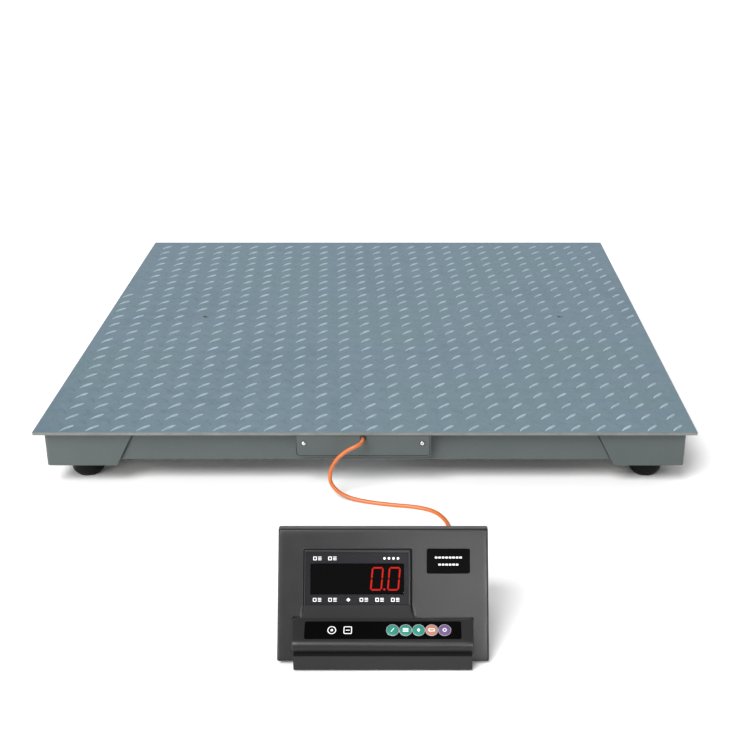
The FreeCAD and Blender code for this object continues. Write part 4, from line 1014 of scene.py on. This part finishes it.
def make_marks():
    """Plain pictograms in white on the film, the label and the overlay, with no lettering."""
    marks = []

    def add(x, up, loops, matrix=PANEL, face=FILM_FACE):
        placed = [shifted(loop, x, up) for loop in loops]
        low, high = face - 0.03, face + 0.06
        marks.append(plate("mark", placed, low, high, matrix, "print_white", bevel=0.02))

    upper, lower = 121.3, 72.3
    frame_mark = [rounded_box(2.1, 2.2, 0.5, 3), rounded_box(1.3, 1.4, 0.3, 3)]
    bar = [rounded_box(2.1, 0.38, 0.2, 2)]
    pair = 2.9
    bar_step = 1.7
    upper_marks = [(x, upper) for x in (-78.8, -60.8)]
    for x, up in upper_marks + [(x, lower) for x in (-78.8, -60.4, -22.9, -4.1, 14.7)]:
        add(x - pair, up, frame_mark)
        for step in (-1, 0, 1):
            add(x + pair, up + step * bar_step, bar)
    add(-41.4, lower, [[(2.4, 0), (0, 2.4), (-2.4, 0), (0, -2.4)]])
    for number in range(4):
        add(1.7 + number * 5.4, upper, [circle(0, 0, 1.5, 20)])
    dash_pitch = 4.2
    for count, rise in ((8, 4.2), (6, -4.2)):
        for number in range(count):
            x = LABEL_X + (number - (count - 1) / 2) * dash_pitch
            add(x, LABEL_UP + rise, [rounded_box(1.5, 1.0, 0.4, 2)], PANEL, SHEET_FACE)
    for x, loops in (
        (-60.8, [circle(0, 0, 5.2, 40), circle(0, 0, 4.2, 40)]),
        (-60.8, [circle(0, 0, 1.6, 24)]),
        (-41.8, [rounded_box(5.0, 5.0, 1.6, 5), rounded_box(4.0, 4.0, 1.0, 5)]),
        (-41.8, [rounded_box(2.4, 0.5, 0.2, 2)]),
    ):
        add(x, KEY_Y, loops, KEYPAD, SHEET_FACE)
    merged("printed_legends", marks)


def key_mark(number):
    """A different plain mark for each key, as stacks of an outline and its holes."""
    dash = rounded_box(3.4, 0.5, 0.2, 2)
    return (
        [[[(-2.2, -2.4), (-1.2, -2.4), (2.2, 2.4), (1.2, 2.4)]]],
        [[dash], [shifted(dash, 0, 1.8)], [shifted(dash, 0, -1.8)]],
        [[[(2, 0), (0, 2.6), (-2, 0), (0, -2.6)]]],
        [[rounded_box(3.6, 1.9, 0.6, 3), rounded_box(2.8, 1.1, 0.4, 3)]],
        [[circle(0, 0, 2.4, 28), circle(0, 0, 1.5, 28)]],
    )[number]


def make_keys():
    """Domed caps that press through the overlay, each inside a printed ring."""
    rings = []
    for number in range(KEY_COUNT):
        node = f"key_{number + 1}"
        body, slot = BODY_OF[node], SLOT_OF[node]
        x = KEY_FIRST + number * KEY_PITCH
        spot = KEYPAD @ Matrix.Translation((x, KEY_Y, 0))
        dome = [(0, -3), (6.8, -3), (KEY_RADIUS, -2.8), (KEY_RADIUS, 0.35), (6.85, 0.55)]
        dome += [*dome_arc(6.7, 0.55, 0.45), (0, 1.0)]
        cap = lathe(node + "_domed", dome, spot, slot, body, 56, 50)
        marks = [
            plate("key_mark", loops, 0.9, 1.04, spot, "print_white", body, 0.02)
            for loops in key_mark(number)
        ]
        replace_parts(cap, node)
        merged(node + "_mark", marks)
        ring = [circle(x, KEY_Y, 7.62), circle(x, KEY_Y, 7.22)]
        rings.append(plate("ring", ring, 0.25, 0.42, KEYPAD, "print_ring", bevel=0.03))
    merged("key_rings", rings)


def make_indicator():
    make_upper_shell()
    refined("lower_shell", 0.9, 3)
    refined("display_film", 0.1)
    refined("display_window", 0.2)
    make_digits()
    make_marks()
    place = PANEL @ Matrix.Translation((LABEL_X, LABEL_UP, 0))
    outline = rounded_box(26.1, 14.9, 2.2)
    label = plate("label_sheet", [outline], -0.4, SHEET_FACE, place, "label", bevel=0.12)
    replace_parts(label, "label_plate")
    place = KEYPAD @ Matrix.Translation((0, OVERLAY_Y, 0))
    loops = [rounded_box(93.4, 11.75, 2.4)]
    for number in range(KEY_COUNT):
        loops.append(circle(KEY_FIRST + number * KEY_PITCH, KEY_Y - OVERLAY_Y, KEY_RADIUS + 0.2))
    overlay = plate("keypad_sheet", loops, -0.4, SHEET_FACE, place, "label", bevel=0.12)
    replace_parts(overlay, "keypad_overlay")
    make_keys()
    for node, width in (
        ("display_board", 0.2), ("keypad_board", 0.2), ("main_board", 0.3), ("transformer", 0.8),
        ("battery", 1.0), ("signal_socket", 0.4), ("serial_port", 0.3), ("mains_inlet", 0.5),
        ("power_switch_frame", 0.4), ("power_rocker", 0.4), ("indicator_feet", 0.5),
        ("housing_screws", 0.2),
    ):
        refined(node, width)


# ---- studio ---------------------------------------------------------------------------------


def aimed(data, spot, aim):
    light = bpy.data.objects.new(data.name, data)
    light.location = spot
    light.rotation_euler = (Vector(aim) - Vector(spot)).to_track_quat("-Z", "Y").to_euler()
    bpy.context.collection.objects.link(light)


def area_light(name, spot, aim, size, power):
    """A soft box, placed in metres."""
    data = bpy.data.lights.new(name, "AREA")
    data.shape = "RECTANGLE"
    data.size, data.size_y = size
    data.energy = power
    aimed(data, spot, aim)


def soft_sun(name, spot, strength, spread):
    """A sun shining from a direction, wide enough to leave soft shadows."""
    data = bpy.data.lights.new(name, "SUN")
    data.energy = strength
    data.angle = math.radians(spread)
    light = bpy.data.objects.new(name, data)
    light.rotation_euler = Vector(spot).to_track_quat("Z", "Y").to_euler()
    bpy.context.collection.objects.link(light)


def soft_spot(name, spot, aim, cone, power):
    """A lamp whose narrow beam fades evenly from its middle."""
    data = bpy.data.lights.new(name, "SPOT")
    data.energy = power
    data.spot_size = math.radians(cone)
    data.spot_blend = 1
    data.shadow_soft_size = 0.12
    aimed(data, spot, aim)


def make_studio():
    """A white surround over a pale floor, with a wide sun, two soft boxes and a lamp on the panel."""
    scene = bpy.context.scene
    scene.view_settings.view_transform = "Standard"
    world = bpy.data.worlds.new("studio")
    world.use_nodes = True
    background = world.node_tree.nodes["Background"]
    background.inputs["Color"].default_value = (1, 1, 1, 1)
    background.inputs["Strength"].default_value = 0.5
    scene.world = world
    half = FLOOR_SIZE / 2
    corners = [(-half, -half, 0), (half, -half, 0), (half, half, 0), (-half, half, 0)]
    mesh = bpy.data.meshes.new("floor")
    mesh.from_pydata(corners, [], [(0, 1, 2, 3)])
    floor = bpy.data.objects.new("floor", mesh)
    pale = Surface("studio_floor", roughness=0.75, Specular_IOR_Level=0.2)
    pale.colour(pale.ramp(pale.noise(0.8, 2, 0.4), [(0.3, (0.92, 0.92, 0.92)), (0.7, (0.94, 0.94, 0.94))]))
    mesh.materials.append(pale.material)
    bpy.context.collection.objects.link(floor)
    soft_sun("sky_sun", (-34, -59, 73), 3.3, 32)
    area_light("rear_key", (0, 3.7, 3.0), (0, 0.25, 0.1), (4.0, 1.0), 58)
    area_light("front_left", (-2.6, -2.9, 0.8), (0, -0.3, 0.05), (1.6, 1.2), 46)
    soft_spot("panel_sheen", (0.45, -2.06, 0.78), (0.095, -0.68, 0.078), 6.8, 130)


make_camera()
make_cord()
make_platform()
make_indicator()
make_studio()
